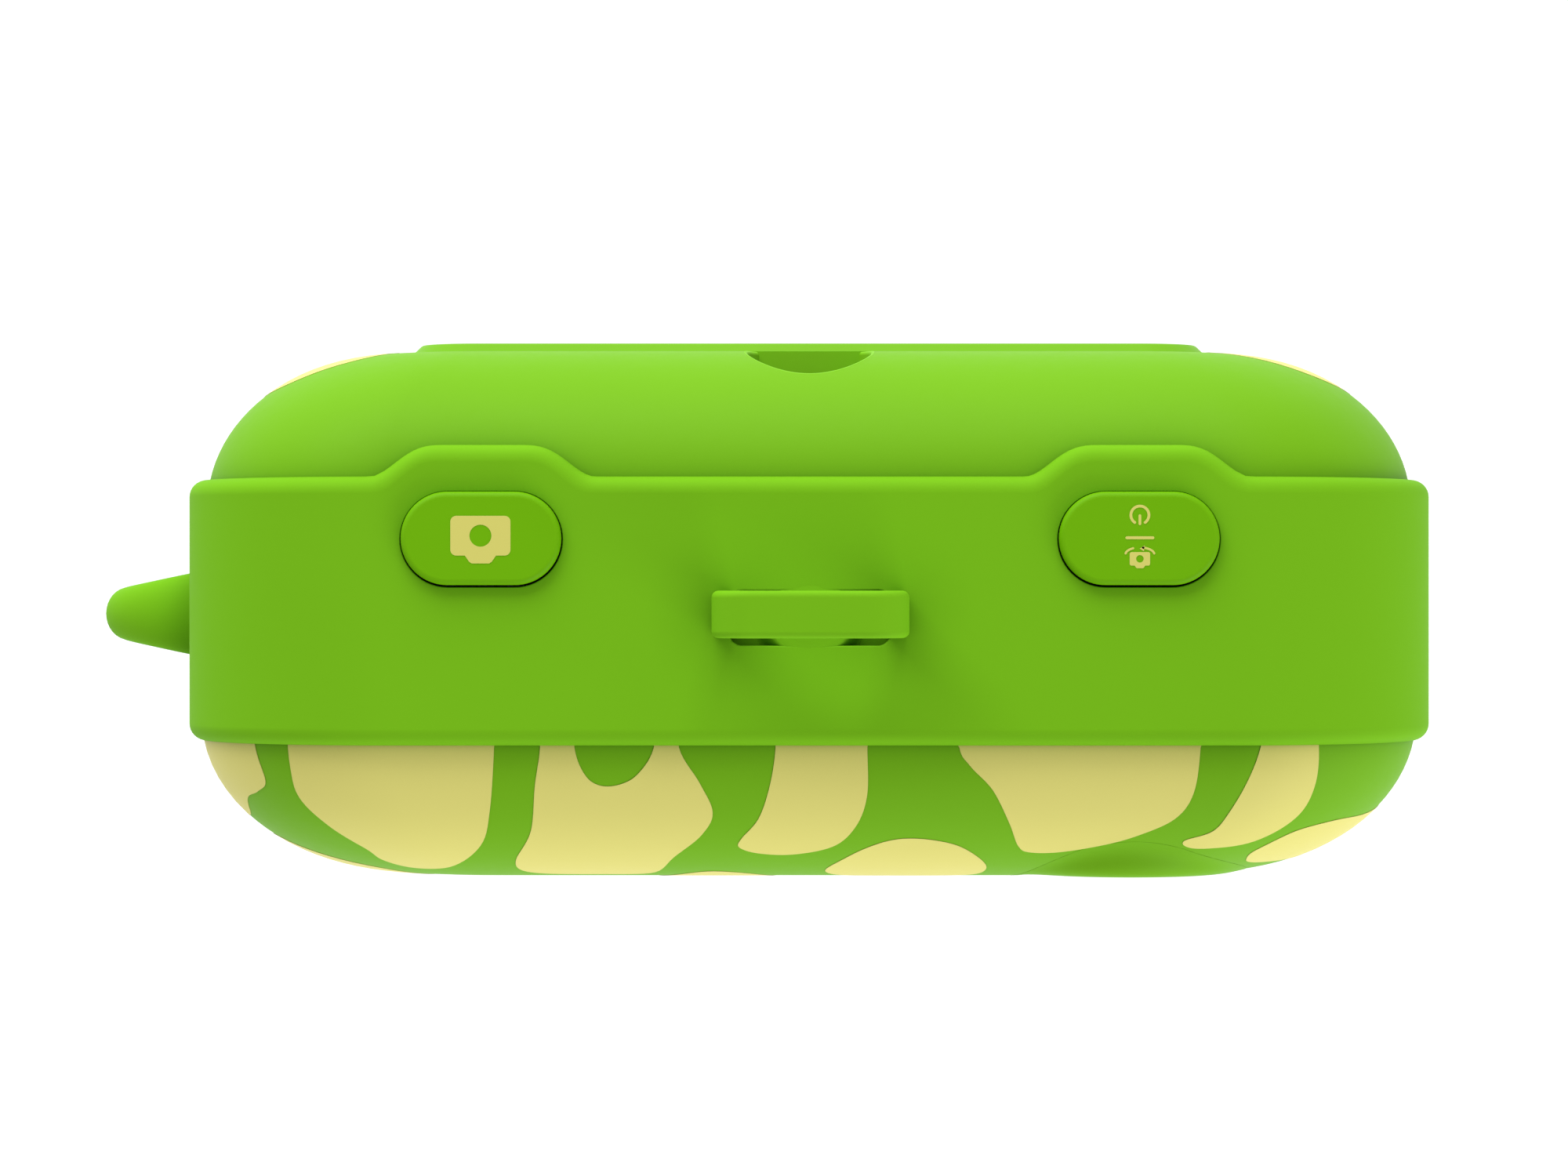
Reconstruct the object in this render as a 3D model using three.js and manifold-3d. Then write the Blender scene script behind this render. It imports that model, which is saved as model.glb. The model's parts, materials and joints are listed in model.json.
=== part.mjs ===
// Kids digital camera: a rounded two-shell body held by a wide middle frame, with two top buttons,
// a top and a side strap loop, a front lens, a rear selfie lens, a screen with five keys and a port flap.
// Millimetres, +Z up. +X is the user's left, +Y is the rear (screen) side, the lens looks along -Y.
// The origin is the centre of the middle frame's flat underside.
import * as THREE from "three";
import { mergeVertices } from "three/addons/utils/BufferGeometryUtils.js";
import Module from "manifold-3d";

const wasm = await Module();
wasm.setup();

// ---------- Driving dimensions ----------
const BAND = { width: 112, height: 76, radius: 19, halfDepth: 11.7, wall: 4 };
const MID_Z = BAND.height / 2;
const WALL = 2.2; // shell wall
const TOUCH = 0.05; // air between flat pieces that rest on each other
const FIT = 0.3; // air round a piece that sits in a cut-out
const RUN = 0.2; // running clearance of buttons and keys

// A shell is a flat face that rolls over to the frame on a quarter ellipse.
// flatX, flatZ, flatR: the flat face; rimX, rimZ, rimR: the virtual rim where the ellipse ends.
const REAR = {
  side: 1, face: 23.3, roll: 13.95,
  flatX: 37.8, flatZ: 22, flatR: 9,
  rimX: 54.4, rimZ: 36.3, rimR: 17.2,
};
const FRONT = {
  side: -1, face: 23.85, roll: 14.3,
  flatX: 36.2, flatZ: 21.5, flatR: 9,
  rimX: 54.9, rimZ: 36.3, rimR: 17.4,
};
const LIP = { reach: 2.7, thick: 1.8, root: 2.2 }; // tongue of each shell inside the frame

const BUTTON = {
  x: 28.5, y: 6.3, length: 13.9, width: 8.1, proud: 1,
  flange: 1.2, flangeThick: 1.1, stem: 1.8,
};
const BUTTON_ROOM = { addLength: 5, addWidth: 3.4, floor: 60 }; // for the flange, under the frame's wall
const BUMP = { half: 9.85, flat: 3.4, rise: 2.74, depth: 6, foot: 2.45, footRise: 0.3, shoulder: 3.8 };
const SWITCH = { width: 6, depth: 3, height: 3.4, plunger: 1, top: 68.2 };

const TOP_LOOP = { width: 16.9, depth: 4.05, y: -0.25, rise: 9.5, leg: 1.9, bar: 2.2, corner: 3.4, sunk: 2 };
const POCKET = { half: 7, depth: 1.5, halfWidth: 2.4, y: -0.6, corner: 1.1, dome: 2.65, domeDrop: 0.3 };
const SIDE_LOOP = {
  reach: 10.4, half: 10, y: -0.4, rootY: 8.1, tipY: 4.8,
  nose: 8, noseDrop: 0.6, noseRound: 1.3, sunk: 1.8,
};
const SIDE_HOLE = { reach: 6.2, half: 6.2, corner: 2 };

const PLATE = { halfX: 36.1, halfZ: 21, thick: 0.8, corner: 6 };
const SCREEN = { x: 8, width: 46, height: 35.5, ledge: 1, module: [50, 35.2, 2.6], panel: [48, 33.6, 1.4] };
const KEYS = { x: -26, ring: 6, length: 5.4, width: 3.2, round: 2.7, flange: 0.6, recess: 0.1 };
const LENS = { x: 28.6, z: 57.5, outer: 10.2, inner: 7.5, front: 23.7, barrel: 6.6, element: 3.4 };
const SELFIE = { z: 62.2, well: 5.6, wall: 0.8, floor: 18.2, base: 1.4, lensZ: 63.3, ring: 4, inner: 2.7 };
const FLASH = { x: 10, z: 54.5, r: 3.2 };
const BOARD = { halfX: 48, bottom: 9, top: 67, corner: 12, front: 3.2, thick: 1.6 };
const SHELL_SCREW = { x: 40, z: 15, head: 2.6, shaft: 1.2, post: 3.2, postEnd: 2, seat: 16, tip: -2 };
const BOSS = { wall: 1.6, front: 10.2 }; // round the shell screws' heads, open to the rear
const BOARD_SCREWS = [[44, 54], [-44, 54], [12, 13], [-22, 13]];
const BOARD_SCREW = { head: 2.3, shaft: 1.1, post: 2.8, tip: -3 };
const SPEAKER = { x: 28, z: 24, r: 10, hole: 0.9, ring: 4.6, holes: 6 };
const MIC = { x: -20, z: 52, r: 2, hole: 0.6 };
const FLAP = { low: 26.3, high: 49.7, halfY: 5.7, y: 1, thick: 1.8, corner: 2.2 };
const USB = { z: 32.5, y: 1.55, width: 8.9, height: 3.2, inside: 43 };
const PORT_TUNNEL = 9; // from the frame's side through its wall
const CARD = { z: 43.3, y: 2.35, width: 12, height: 1.6, slot: 0.9, inside: 37 };

// ---------- Solids ----------
function solid(geometry) {
  const bare = geometry.index ? geometry.toNonIndexed() : geometry.clone();
  bare.deleteAttribute("normal");
  bare.deleteAttribute("uv");
  const merged = mergeVertices(bare, 1e-4);
  return new wasm.Manifold(
    new wasm.Mesh({
      numProp: 3,
      vertProperties: new Float32Array(merged.attributes.position.array),
      triVerts: new Uint32Array(merged.index.array),
    }),
  );
}

const join = (first, ...rest) => rest.reduce((sum, next) => sum.add(next), first);
const cut = (first, ...rest) => rest.reduce((left, next) => left.subtract(next), first);

function geometryOf(manifold) {
  const mesh = manifold.getMesh();
  const geometry = new THREE.BufferGeometry();
  geometry.setAttribute("position", new THREE.BufferAttribute(new Float32Array(mesh.vertProperties), 3));
  geometry.setIndex(new THREE.BufferAttribute(new Uint32Array(mesh.triVerts), 1));
  geometry.computeVertexNormals();
  return geometry;
}

function extrude(shape, depth, curveSegments) {
  return new THREE.ExtrudeGeometry(shape, { depth, bevelEnabled: false, curveSegments });
}

// Prisms along each axis: the outline is drawn in (x, z), (x, y) or (y, z).
function prismY(shape, low, high, curveSegments = 2) {
  return solid(extrude(shape, high - low, curveSegments).rotateX(Math.PI / 2).translate(0, high, 0));
}

function prismZ(shape, low, high, curveSegments = 2) {
  return solid(extrude(shape, high - low, curveSegments).translate(0, 0, low));
}

const TO_X = new THREE.Matrix4().makeBasis(
  new THREE.Vector3(0, 1, 0),
  new THREE.Vector3(0, 0, 1),
  new THREE.Vector3(1, 0, 0),
);
function prismX(shape, low, high, curveSegments = 2) {
  return solid(extrude(shape, high - low, curveSegments).applyMatrix4(TO_X).translate(low, 0, 0));
}

function box(x0, x1, y0, y1, z0, z1) {
  const size = [x1 - x0, y1 - y0, z1 - z0];
  return solid(new THREE.BoxGeometry(...size).translate((x0 + x1) / 2, (y0 + y1) / 2, (z0 + z1) / 2));
}

function rodY(r, y0, y1, x, z, sides = 16) {
  return solid(new THREE.CylinderGeometry(r, r, y1 - y0, sides).translate(x, (y0 + y1) / 2, z));
}

function rodZ(r, z0, z1, x, y, sides = 12) {
  const upright = new THREE.CylinderGeometry(r, r, z1 - z0, sides).rotateX(Math.PI / 2);
  return solid(upright.translate(x, y, (z0 + z1) / 2));
}

// A ring or disc turned about Y, from a closed (radius, y) profile.
function turnedY(profile, x, z, sides = 28) {
  const points = profile.map(([r, y]) => new THREE.Vector2(r, y));
  return solid(new THREE.LatheGeometry(points, sides).translate(x, 0, z));
}

function roundedRect(halfX, halfZ, r, x = 0, z = 0) {
  const shape = new THREE.Shape();
  shape.moveTo(x - halfX + r, z - halfZ);
  shape.lineTo(x + halfX - r, z - halfZ);
  shape.absarc(x + halfX - r, z - halfZ + r, r, -Math.PI / 2, 0);
  shape.lineTo(x + halfX, z + halfZ - r);
  shape.absarc(x + halfX - r, z + halfZ - r, r, 0, Math.PI / 2);
  shape.lineTo(x - halfX + r, z + halfZ);
  shape.absarc(x - halfX + r, z + halfZ - r, r, Math.PI / 2, Math.PI);
  shape.lineTo(x - halfX, z - halfZ + r);
  shape.absarc(x - halfX + r, z - halfZ + r, r, Math.PI, Math.PI * 1.5);
  return shape;
}

function stadium(length, width, x, y) {
  return roundedRect(length / 2, width / 2, width / 2 - 0.001, x, y);
}

// A closed loft through rounded rectangles in the XZ plane, each { y, x, z, r } with half-sizes x and z.
const CORNER_STEPS = 5;
function outline(ring) {
  const points = [];
  for (let corner = 0; corner < 4; corner += 1) {
    const sx = corner === 0 || corner === 3 ? 1 : -1;
    const sz = corner < 2 ? 1 : -1;
    for (let step = 0; step <= CORNER_STEPS; step += 1) {
      const angle = ((corner + step / CORNER_STEPS) * Math.PI) / 2;
      const x = sx * (ring.x - ring.r) + ring.r * Math.cos(angle);
      const z = sz * (ring.z - ring.r) + ring.r * Math.sin(angle);
      points.push(x, ring.y, MID_Z + z);
    }
  }
  return points;
}

function loft(rings) {
  const count = 4 * (CORNER_STEPS + 1);
  const positions = rings.flatMap(outline);
  const first = positions.length / 3;
  positions.push(0, rings[0].y, MID_Z, 0, rings.at(-1).y, MID_Z);
  const faces = [];
  for (let i = 0; i < count; i += 1) {
    const next = (i + 1) % count;
    const top = (rings.length - 1) * count;
    faces.push(first, next, i, first + 1, top + i, top + next);
    for (let row = 0; row + 1 < rings.length; row += 1) {
      const [a, b] = [row * count + i, row * count + next];
      faces.push(a, b, b + count, a, b + count, a + count);
    }
  }
  const geometry = new THREE.BufferGeometry();
  geometry.setAttribute("position", new THREE.Float32BufferAttribute(positions, 3));
  geometry.setIndex(faces);
  const made = solid(geometry);
  return made.volume() > 0 ? made : solid(flipped(geometry));
}

function flipped(geometry) {
  const index = geometry.index.array.slice();
  for (let i = 0; i < index.length; i += 3) {
    [index[i + 1], index[i + 2]] = [index[i + 2], index[i + 1]];
  }
  return geometry.clone().setIndex(new THREE.BufferAttribute(index, 1));
}

// The pillow of a shell from the given depth to its face, shrunk by inset all round.
const PILLOW_ROWS = 6;
function pillow(spec, from, inset) {
  const centre = spec.face - spec.roll;
  const roll = spec.roll - inset;
  const start = Math.asin((from - centre) / roll);
  const rings = [];
  for (let row = 0; row <= PILLOW_ROWS; row += 1) {
    const angle = start + ((Math.PI / 2 - start) * row) / PILLOW_ROWS;
    const spread = Math.cos(angle);
    rings.push({
      y: spec.side * (centre + roll * Math.sin(angle)),
      x: spec.flatX + (spec.rimX - inset - spec.flatX) * spread,
      z: spec.flatZ + (spec.rimZ - inset - spec.flatZ) * spread,
      r: spec.flatR + (spec.rimR - inset - spec.flatR) * spread,
    });
  }
  return loft(rings);
}

// ---------- Middle frame ----------
const bandOuter = () => roundedRect(BAND.width / 2, BAND.height / 2, BAND.radius, 0, MID_Z);
const inBand = (inset) =>
  roundedRect(BAND.width / 2 - inset, BAND.height / 2 - inset, BAND.radius - inset, 0, MID_Z);

// The swelling of the frame's rear edge round one button, seen from above.
function bumpShape(x, grow = 0) {
  const edge = BAND.halfDepth;
  const half = BUMP.half + grow;
  const rise = edge + BUMP.rise + grow;
  const shape = new THREE.Shape();
  shape.moveTo(x - half, edge - 2);
  shape.lineTo(x - half, edge);
  const [foot, shoulder, low] = [half - BUMP.foot, BUMP.flat + BUMP.shoulder, edge + BUMP.footRise];
  shape.bezierCurveTo(x - foot, low, x - shoulder, rise, x - BUMP.flat, rise);
  shape.lineTo(x + BUMP.flat, rise);
  shape.bezierCurveTo(x + shoulder, rise, x + foot, low, x + half, edge);
  shape.lineTo(x + half, edge - 2);
  return shape;
}

function topLoopOutline(grow, low) {
  const half = TOP_LOOP.width / 2 + grow;
  const top = BAND.height + TOP_LOOP.rise + grow;
  const r = TOP_LOOP.corner + grow;
  const shape = new THREE.Shape();
  shape.moveTo(half, low);
  shape.lineTo(half, top - r);
  shape.absarc(half - r, top - r, r, 0, Math.PI / 2);
  shape.lineTo(-half + r, top);
  shape.absarc(-half + r, top - r, r, Math.PI / 2, Math.PI);
  shape.lineTo(-half, low);
  const inner = half - TOP_LOOP.leg - 2 * grow;
  const innerTop = top - TOP_LOOP.bar - 2 * grow;
  const innerR = TOP_LOOP.corner - TOP_LOOP.leg + 0.6;
  shape.lineTo(-inner, low);
  shape.lineTo(-inner, innerTop - innerR);
  shape.absarc(-inner + innerR, innerTop - innerR, innerR, Math.PI, Math.PI / 2, true);
  shape.lineTo(inner - innerR, innerTop);
  shape.absarc(inner - innerR, innerTop - innerR, innerR, Math.PI / 2, 0, true);
  shape.lineTo(inner, low);
  return shape;
}

function topLoop(grow = 0) {
  const half = TOP_LOOP.depth / 2 + grow;
  const low = BAND.height - TOP_LOOP.sunk - grow;
  return prismY(topLoopOutline(grow, low), TOP_LOOP.y - half, TOP_LOOP.y + half);
}

function sideLoop(grow = 0) {
  const root = -BAND.width / 2 + SIDE_LOOP.sunk + grow;
  const tip = -BAND.width / 2 - SIDE_LOOP.reach - grow;
  const half = SIDE_LOOP.half + grow;
  const shape = new THREE.Shape();
  shape.moveTo(root, MID_Z - half);
  shape.lineTo(root, MID_Z + half);
  shape.lineTo(tip + SIDE_LOOP.nose, MID_Z + half);
  const corner = half - SIDE_LOOP.noseDrop;
  shape.quadraticCurveTo(tip, MID_Z + corner, tip, MID_Z + half - SIDE_LOOP.nose);
  shape.lineTo(tip, MID_Z - half + SIDE_LOOP.nose);
  shape.quadraticCurveTo(tip, MID_Z - corner, tip + SIDE_LOOP.nose, MID_Z - half);
  const side = -BAND.width / 2;
  const left = side - SIDE_HOLE.reach + grow;
  const holeHalf = SIDE_HOLE.half - grow;
  const r = SIDE_HOLE.corner;
  const hole = new THREE.Path();
  hole.moveTo(side, MID_Z - holeHalf);
  hole.lineTo(side, MID_Z + holeHalf);
  hole.lineTo(left + r, MID_Z + holeHalf);
  hole.quadraticCurveTo(left, MID_Z + holeHalf, left, MID_Z + holeHalf - r);
  hole.lineTo(left, MID_Z - holeHalf + r);
  hole.quadraticCurveTo(left, MID_Z - holeHalf, left + r, MID_Z - holeHalf);
  shape.holes.push(hole);
  const slab = prismY(shape, SIDE_LOOP.y - SIDE_LOOP.rootY, SIDE_LOOP.y + SIDE_LOOP.rootY);
  // Seen from above the loop narrows from the frame to a blunt tip.
  const rootHalf = SIDE_LOOP.rootY / 2 + grow;
  const tipHalf = SIDE_LOOP.tipY / 2 + grow;
  const round = SIDE_LOOP.noseRound;
  const rear = [
    [root + 1, rootHalf],
    [side, rootHalf],
    [tip + round, tipHalf],
    [tip, tipHalf - round],
  ];
  const front = rear.map(([x, y]) => [x, -y]).reverse();
  const corners = [...rear, ...front].map(([x, y]) => new THREE.Vector2(x, SIDE_LOOP.y + y));
  const taper = new THREE.Shape(corners);
  return slab.intersect(prismZ(taper, MID_Z - half - 1, MID_Z + half + 1));
}

function middleFrame() {
  const shape = bandOuter();
  shape.holes.push(inBand(BAND.wall));
  let made = prismY(shape, -BAND.halfDepth, BAND.halfDepth, 4);
  for (const side of [-1, 1]) {
    const x = side * BUTTON.x;
    const hole = stadium(BUTTON.length + 2 * RUN, BUTTON.width + 2 * RUN, x, BUTTON.y);
    const { addLength, addWidth, floor } = BUTTON_ROOM;
    const room = stadium(BUTTON.length + addLength, BUTTON.width + addWidth, x, BUTTON.y);
    made = join(made, prismZ(bumpShape(x), BAND.height - BUMP.depth, BAND.height, 5));
    made = cut(made, prismZ(hole, floor, BAND.height + 1, 3), prismZ(room, floor, BAND.height - BAND.wall));
  }
  // A shallow pocket under the top loop's bar, with a round boss in it.
  const pocketShape = roundedRect(POCKET.half, POCKET.halfWidth, POCKET.corner, 0, POCKET.y);
  const pocketFloor = BAND.height - POCKET.depth;
  const pocket = prismZ(pocketShape, pocketFloor, BAND.height + 1);
  const dome = rodZ(POCKET.dome, pocketFloor - 1, BAND.height - POCKET.domeDrop, 0, POCKET.y, 16);
  made = join(cut(made, pocket), dome);
  made = cut(made, topLoop(FIT / 2), sideLoop(FIT / 2));
  const side = BAND.width / 2;
  const midFlap = (FLAP.low + FLAP.high) / 2;
  const halfFlap = (FLAP.high - FLAP.low) / 2;
  const recess = roundedRect(FLAP.halfY + FIT, halfFlap + FIT, FLAP.corner + FIT, FLAP.y, midFlap);
  const usb = roundedRect(USB.height / 2 + FIT, USB.width / 2 + FIT, USB.height / 2, USB.y, USB.z);
  const card = roundedRect(CARD.slot, CARD.width / 2, CARD.slot / 4, CARD.y, CARD.z);
  return cut(
    made,
    prismX(recess, side - FLAP.thick - FIT, side + 1),
    prismX(usb, side - PORT_TUNNEL, side),
    prismX(card, side - PORT_TUNNEL, side),
  );
}

// ---------- Shells ----------
function shellLip(spec) {
  const edge = BAND.halfDepth + TOUCH;
  const ends = (near, far) => (spec.side > 0 ? [near, far] : [-far, -near]);
  const lipShape = inBand(BAND.wall + FIT);
  lipShape.holes.push(inBand(BAND.wall + FIT + LIP.thick));
  const rootShape = inBand(BAND.wall - 1);
  rootShape.holes.push(inBand(BAND.wall + FIT + LIP.thick));
  return join(
    prismY(lipShape, ...ends(edge - LIP.reach, edge + LIP.root), 2),
    prismY(rootShape, ...ends(edge, edge + LIP.root), 2),
  );
}

function shell(spec) {
  const edge = BAND.halfDepth + TOUCH;
  return join(cut(pillow(spec, edge, 0), pillow(spec, edge - 1, WALL)), shellLip(spec));
}

const CORE_INSET = 5;
// Cuts a piece back to what lies inside a shell's outer surface or inside the frame.
function inside(piece, spec) {
  const halfX = BAND.width / 2 - CORE_INSET;
  const halfY = BAND.halfDepth + FIT;
  const core = box(-halfX, halfX, -halfY, halfY, CORE_INSET, BAND.height - CORE_INSET);
  return piece.intersect(join(pillow(spec, BAND.halfDepth - FIT, 0), core));
}

function rearShell() {
  let made = shell(REAR);
  const innerFace = REAR.face - WALL;
  const bumpFloor = BAND.height - BUMP.depth;
  for (const side of [-1, 1]) {
    const x = side * SHELL_SCREW.x;
    const boss = rodY(SHELL_SCREW.head + BOSS.wall, BOSS.front, REAR.face, x, SHELL_SCREW.z, 12);
    made = cut(
      join(made, inside(boss, REAR)),
      rodY(SHELL_SCREW.head + FIT, SHELL_SCREW.seat, REAR.face + 1, x, SHELL_SCREW.z, 12),
      rodY(SHELL_SCREW.shaft + FIT, BOSS.front - 1, REAR.face, x, SHELL_SCREW.z, 8),
    );
    // Space for the frame's swelling, and for the button's flange below it.
    const middle = side * BUTTON.x;
    const half = BUMP.half + FIT;
    const flangeRear = BAND.halfDepth + BUMP.rise;
    made = cut(
      made,
      prismZ(bumpShape(middle, FIT), bumpFloor - FIT, BAND.height + 2, 5),
      box(middle - half, middle + half, BUTTON.y, flangeRear, bumpFloor - LIP.reach, BAND.height - BAND.wall),
    );
  }
  // The selfie lens well, with a tube behind it.
  const tube = rodY(SELFIE.well + SELFIE.wall, SELFIE.floor - SELFIE.base, REAR.face, 0, SELFIE.z, 20);
  // The well stops at the screen plate's top edge.
  const reach = SELFIE.well + 1;
  const plateTop = MID_Z + PLATE.halfZ;
  const shelf = box(-reach, reach, SELFIE.floor - 1, REAR.face + 4, SELFIE.z - reach, plateTop);
  made = cut(
    join(made, inside(tube, REAR)),
    cut(rodY(SELFIE.well, SELFIE.floor, REAR.face + 3, 0, SELFIE.z, 28), shelf),
    rodY(SELFIE.inner + FIT, SELFIE.floor - 3, REAR.face, 0, SELFIE.lensZ, 20),
  );
  const ledge = SCREEN.ledge;
  const window = roundedRect(SCREEN.width / 2 - ledge, SCREEN.height / 2 - ledge, 1.5, SCREEN.x, MID_Z);
  made = cut(made, prismY(window, innerFace - 1, REAR.face + 1));
  return cut(made, keyHoles(innerFace - 1, REAR.face + 1));
}

const SCREW_HOLE_END = -8; // the blind holes in the front shell's posts
function frontShell() {
  let made = shell(FRONT);
  const face = -FRONT.face;
  const postFrom = face + 1;
  for (const side of [-1, 1]) {
    const x = side * SHELL_SCREW.x;
    const post = rodY(SHELL_SCREW.post, postFrom, SHELL_SCREW.postEnd, x, SHELL_SCREW.z, 10);
    made = join(made, inside(post, FRONT));
    const hole = rodY(SHELL_SCREW.shaft + FIT, SCREW_HOLE_END, SHELL_SCREW.postEnd + 1, x, SHELL_SCREW.z, 8);
    made = cut(made, hole);
  }
  for (const [x, z] of BOARD_SCREWS) {
    made = join(made, inside(rodY(BOARD_SCREW.post, postFrom, BOARD.front - TOUCH, x, z, 10), FRONT));
    made = cut(made, rodY(BOARD_SCREW.shaft + FIT, SCREW_HOLE_END, BOARD.front + 1, x, z, 8));
  }
  made = cut(
    made,
    rodY(LENS.outer + FIT, face - 2, face + 6, LENS.x, LENS.z, 28),
    rodY(FLASH.r + RUN, face - 2, face + 4, FLASH.x, FLASH.z, 16),
    rodY(MIC.hole, face - 2, face + 4, MIC.x, MIC.z, 8),
    rodY(SPEAKER.hole, face - 2, face + 4, SPEAKER.x, SPEAKER.z, 8),
  );
  for (let i = 0; i < SPEAKER.holes; i += 1) {
    const angle = (i * 2 * Math.PI) / SPEAKER.holes;
    const x = SPEAKER.x + SPEAKER.ring * Math.cos(angle);
    const z = SPEAKER.z + SPEAKER.ring * Math.sin(angle);
    made = cut(made, rodY(SPEAKER.hole, face - 2, face + 4, x, z, 8));
  }
  return made;
}

// ---------- Top buttons ----------
function topButton(side) {
  const x = side * BUTTON.x;
  const under = BAND.height - BAND.wall - FIT;
  const grow = 2 * BUTTON.flange;
  const cap = stadium(BUTTON.length, BUTTON.width, x, BUTTON.y);
  const flange = stadium(BUTTON.length + grow, BUTTON.width + grow, x, BUTTON.y);
  return join(
    prismZ(cap, under - 0.5, BAND.height + BUTTON.proud, 4),
    prismZ(flange, under - BUTTON.flangeThick, under),
    rodZ(BUTTON.stem, SWITCH.top + 1, under, x, BUTTON.y),
  );
}

function topSwitch(side) {
  const x = side * BUTTON.x;
  const rear = BOARD.front + BOARD.thick + TOUCH;
  const low = SWITCH.top - SWITCH.plunger - SWITCH.height;
  return join(
    box(x - SWITCH.width / 2, x + SWITCH.width / 2, rear, rear + SWITCH.depth, low, low + SWITCH.height),
    rodZ(1, low + 1, SWITCH.top, x, rear + SWITCH.depth / 2, 10),
  );
}

// ---------- Rear screen and keys ----------
const KEY_PLACES = {
  key_up: [0, KEYS.ring],
  key_down: [0, -KEYS.ring],
  key_left: [KEYS.ring, 0],
  key_right: [-KEYS.ring, 0],
  key_ok: [0, 0],
};

function keyShape(name, grow) {
  const [dx, dz] = KEY_PLACES[name];
  const [x, z] = [KEYS.x + dx, MID_Z + dz];
  if (name === "key_ok") {
    const circle = new THREE.Shape();
    circle.absarc(x, z, KEYS.round + grow, 0, 2 * Math.PI);
    return circle;
  }
  const [long, short] = [KEYS.length / 2 + grow, KEYS.width / 2 + grow];
  const r = short - 0.001;
  return dx === 0 ? roundedRect(long, short, r, x, z) : roundedRect(short, long, r, x, z);
}

function keyHoles(low, high) {
  return Object.keys(KEY_PLACES)
    .map((name) => prismY(keyShape(name, RUN), low, high, 2))
    .reduce((all, hole) => all.add(hole));
}

function rearKey(name) {
  const top = REAR.face + PLATE.thick - KEYS.recess;
  const under = REAR.face - WALL - RUN;
  return join(
    prismY(keyShape(name, 0), under - 0.3, top, 2),
    prismY(keyShape(name, KEYS.flange), under - 0.7, under, 2),
  );
}

function screenBezel() {
  const low = REAR.face + TOUCH;
  const high = REAR.face + PLATE.thick;
  const plate = prismY(roundedRect(PLATE.halfX, PLATE.halfZ, PLATE.corner, 0, MID_Z), low, high, 3);
  const window = roundedRect(SCREEN.width / 2 + RUN, SCREEN.height / 2 + RUN, 2, SCREEN.x, MID_Z);
  return cut(
    plate,
    prismY(window, low - 1, high + 1),
    keyHoles(low - 1, high + 1),
  );
}

function screenWindow() {
  const shape = roundedRect(SCREEN.width / 2, SCREEN.height / 2, 1.8, SCREEN.x, MID_Z);
  return prismY(shape, REAR.face + TOUCH, REAR.face + PLATE.thick - 0.15);
}

const slab = ([width, height], x, low, high) =>
  box(x - width / 2, x + width / 2, low, high, MID_Z - height / 2, MID_Z + height / 2);

const LCD_FRONT = REAR.face - WALL - FIT;
const lcdPanel = () => slab(SCREEN.panel, SCREEN.x, LCD_FRONT - SCREEN.panel[2], LCD_FRONT);

function lcdFrame() {
  const [width, height, thick] = SCREEN.module;
  const pocket = [SCREEN.panel[0] + FIT, SCREEN.panel[1] + FIT];
  return cut(
    slab([width, height], SCREEN.x, LCD_FRONT - thick, LCD_FRONT),
    slab(pocket, SCREEN.x, LCD_FRONT - SCREEN.panel[2] - TOUCH, LCD_FRONT + 1),
  );
}

const MEMBRANE = { halfX: 8.7, halfZ: 9.5, thick: 0.8, rear: REAR.face - WALL - RUN - 1.5 };
const KEY_BOARD = { halfX: 8.7, halfZ: 10.5, thick: 1.25, rear: MEMBRANE.rear - MEMBRANE.thick - TOUCH };
const keySheet = ({ halfX, halfZ, thick, rear }) =>
  prismY(roundedRect(halfX, halfZ, 1.5, KEYS.x, MID_Z), rear - thick, rear);

// ---------- Front lens, flash, microphone and speaker ----------
function lensRing() {
  const front = -LENS.front;
  const back = -FRONT.face + 4.6;
  return turnedY(
    [
      [LENS.inner, back],
      [LENS.inner, front + 1.6],
      [LENS.inner + 0.7, front + 0.5],
      [LENS.inner + 1.3, front],
      [LENS.outer - 1, front],
      [LENS.outer - 0.3, front + 0.3],
      [LENS.outer, front + 1],
      [LENS.outer, back],
      [LENS.inner, back],
    ],
    LENS.x,
    LENS.z,
  );
}

const LENS_SEAT = -LENS.front + 2.1;
const lensCover = () => rodY(LENS.inner - RUN, LENS_SEAT, LENS_SEAT + 1, LENS.x, LENS.z, 28);

function lensBarrel() {
  const front = LENS_SEAT + 1 + FIT;
  return cut(
    rodY(LENS.barrel, front, front + 11, LENS.x, LENS.z, 24),
    rodY(LENS.element + FIT, front - 1, front + 3, LENS.x, LENS.z, 20),
    rodY(LENS.barrel - 1.2, front - 1, front + 1, LENS.x, LENS.z, 20),
  );
}

const lensElement = () => rodY(LENS.element, LENS_SEAT + 2.1, LENS_SEAT + 4.2, LENS.x, LENS.z, 20);
const CAMERA_BOARD = LENS_SEAT + 12.4;
const cameraBoard = () =>
  box(LENS.x - 8.5, LENS.x + 8.5, CAMERA_BOARD, CAMERA_BOARD + 1.2, LENS.z - 8.5, LENS.z + 8.5);

function selfieRing() {
  const low = SELFIE.floor + TOUCH;
  const high = low + 1.6;
  return cut(
    rodY(SELFIE.ring, low, high, 0, SELFIE.lensZ, 28),
    rodY(SELFIE.inner, low - 1, high + 1, 0, SELFIE.lensZ, 24),
  );
}

const selfieCover = () =>
  rodY(SELFIE.inner - RUN, SELFIE.floor + 0.4, SELFIE.floor + 1.1, 0, SELFIE.lensZ, 20);

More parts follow.
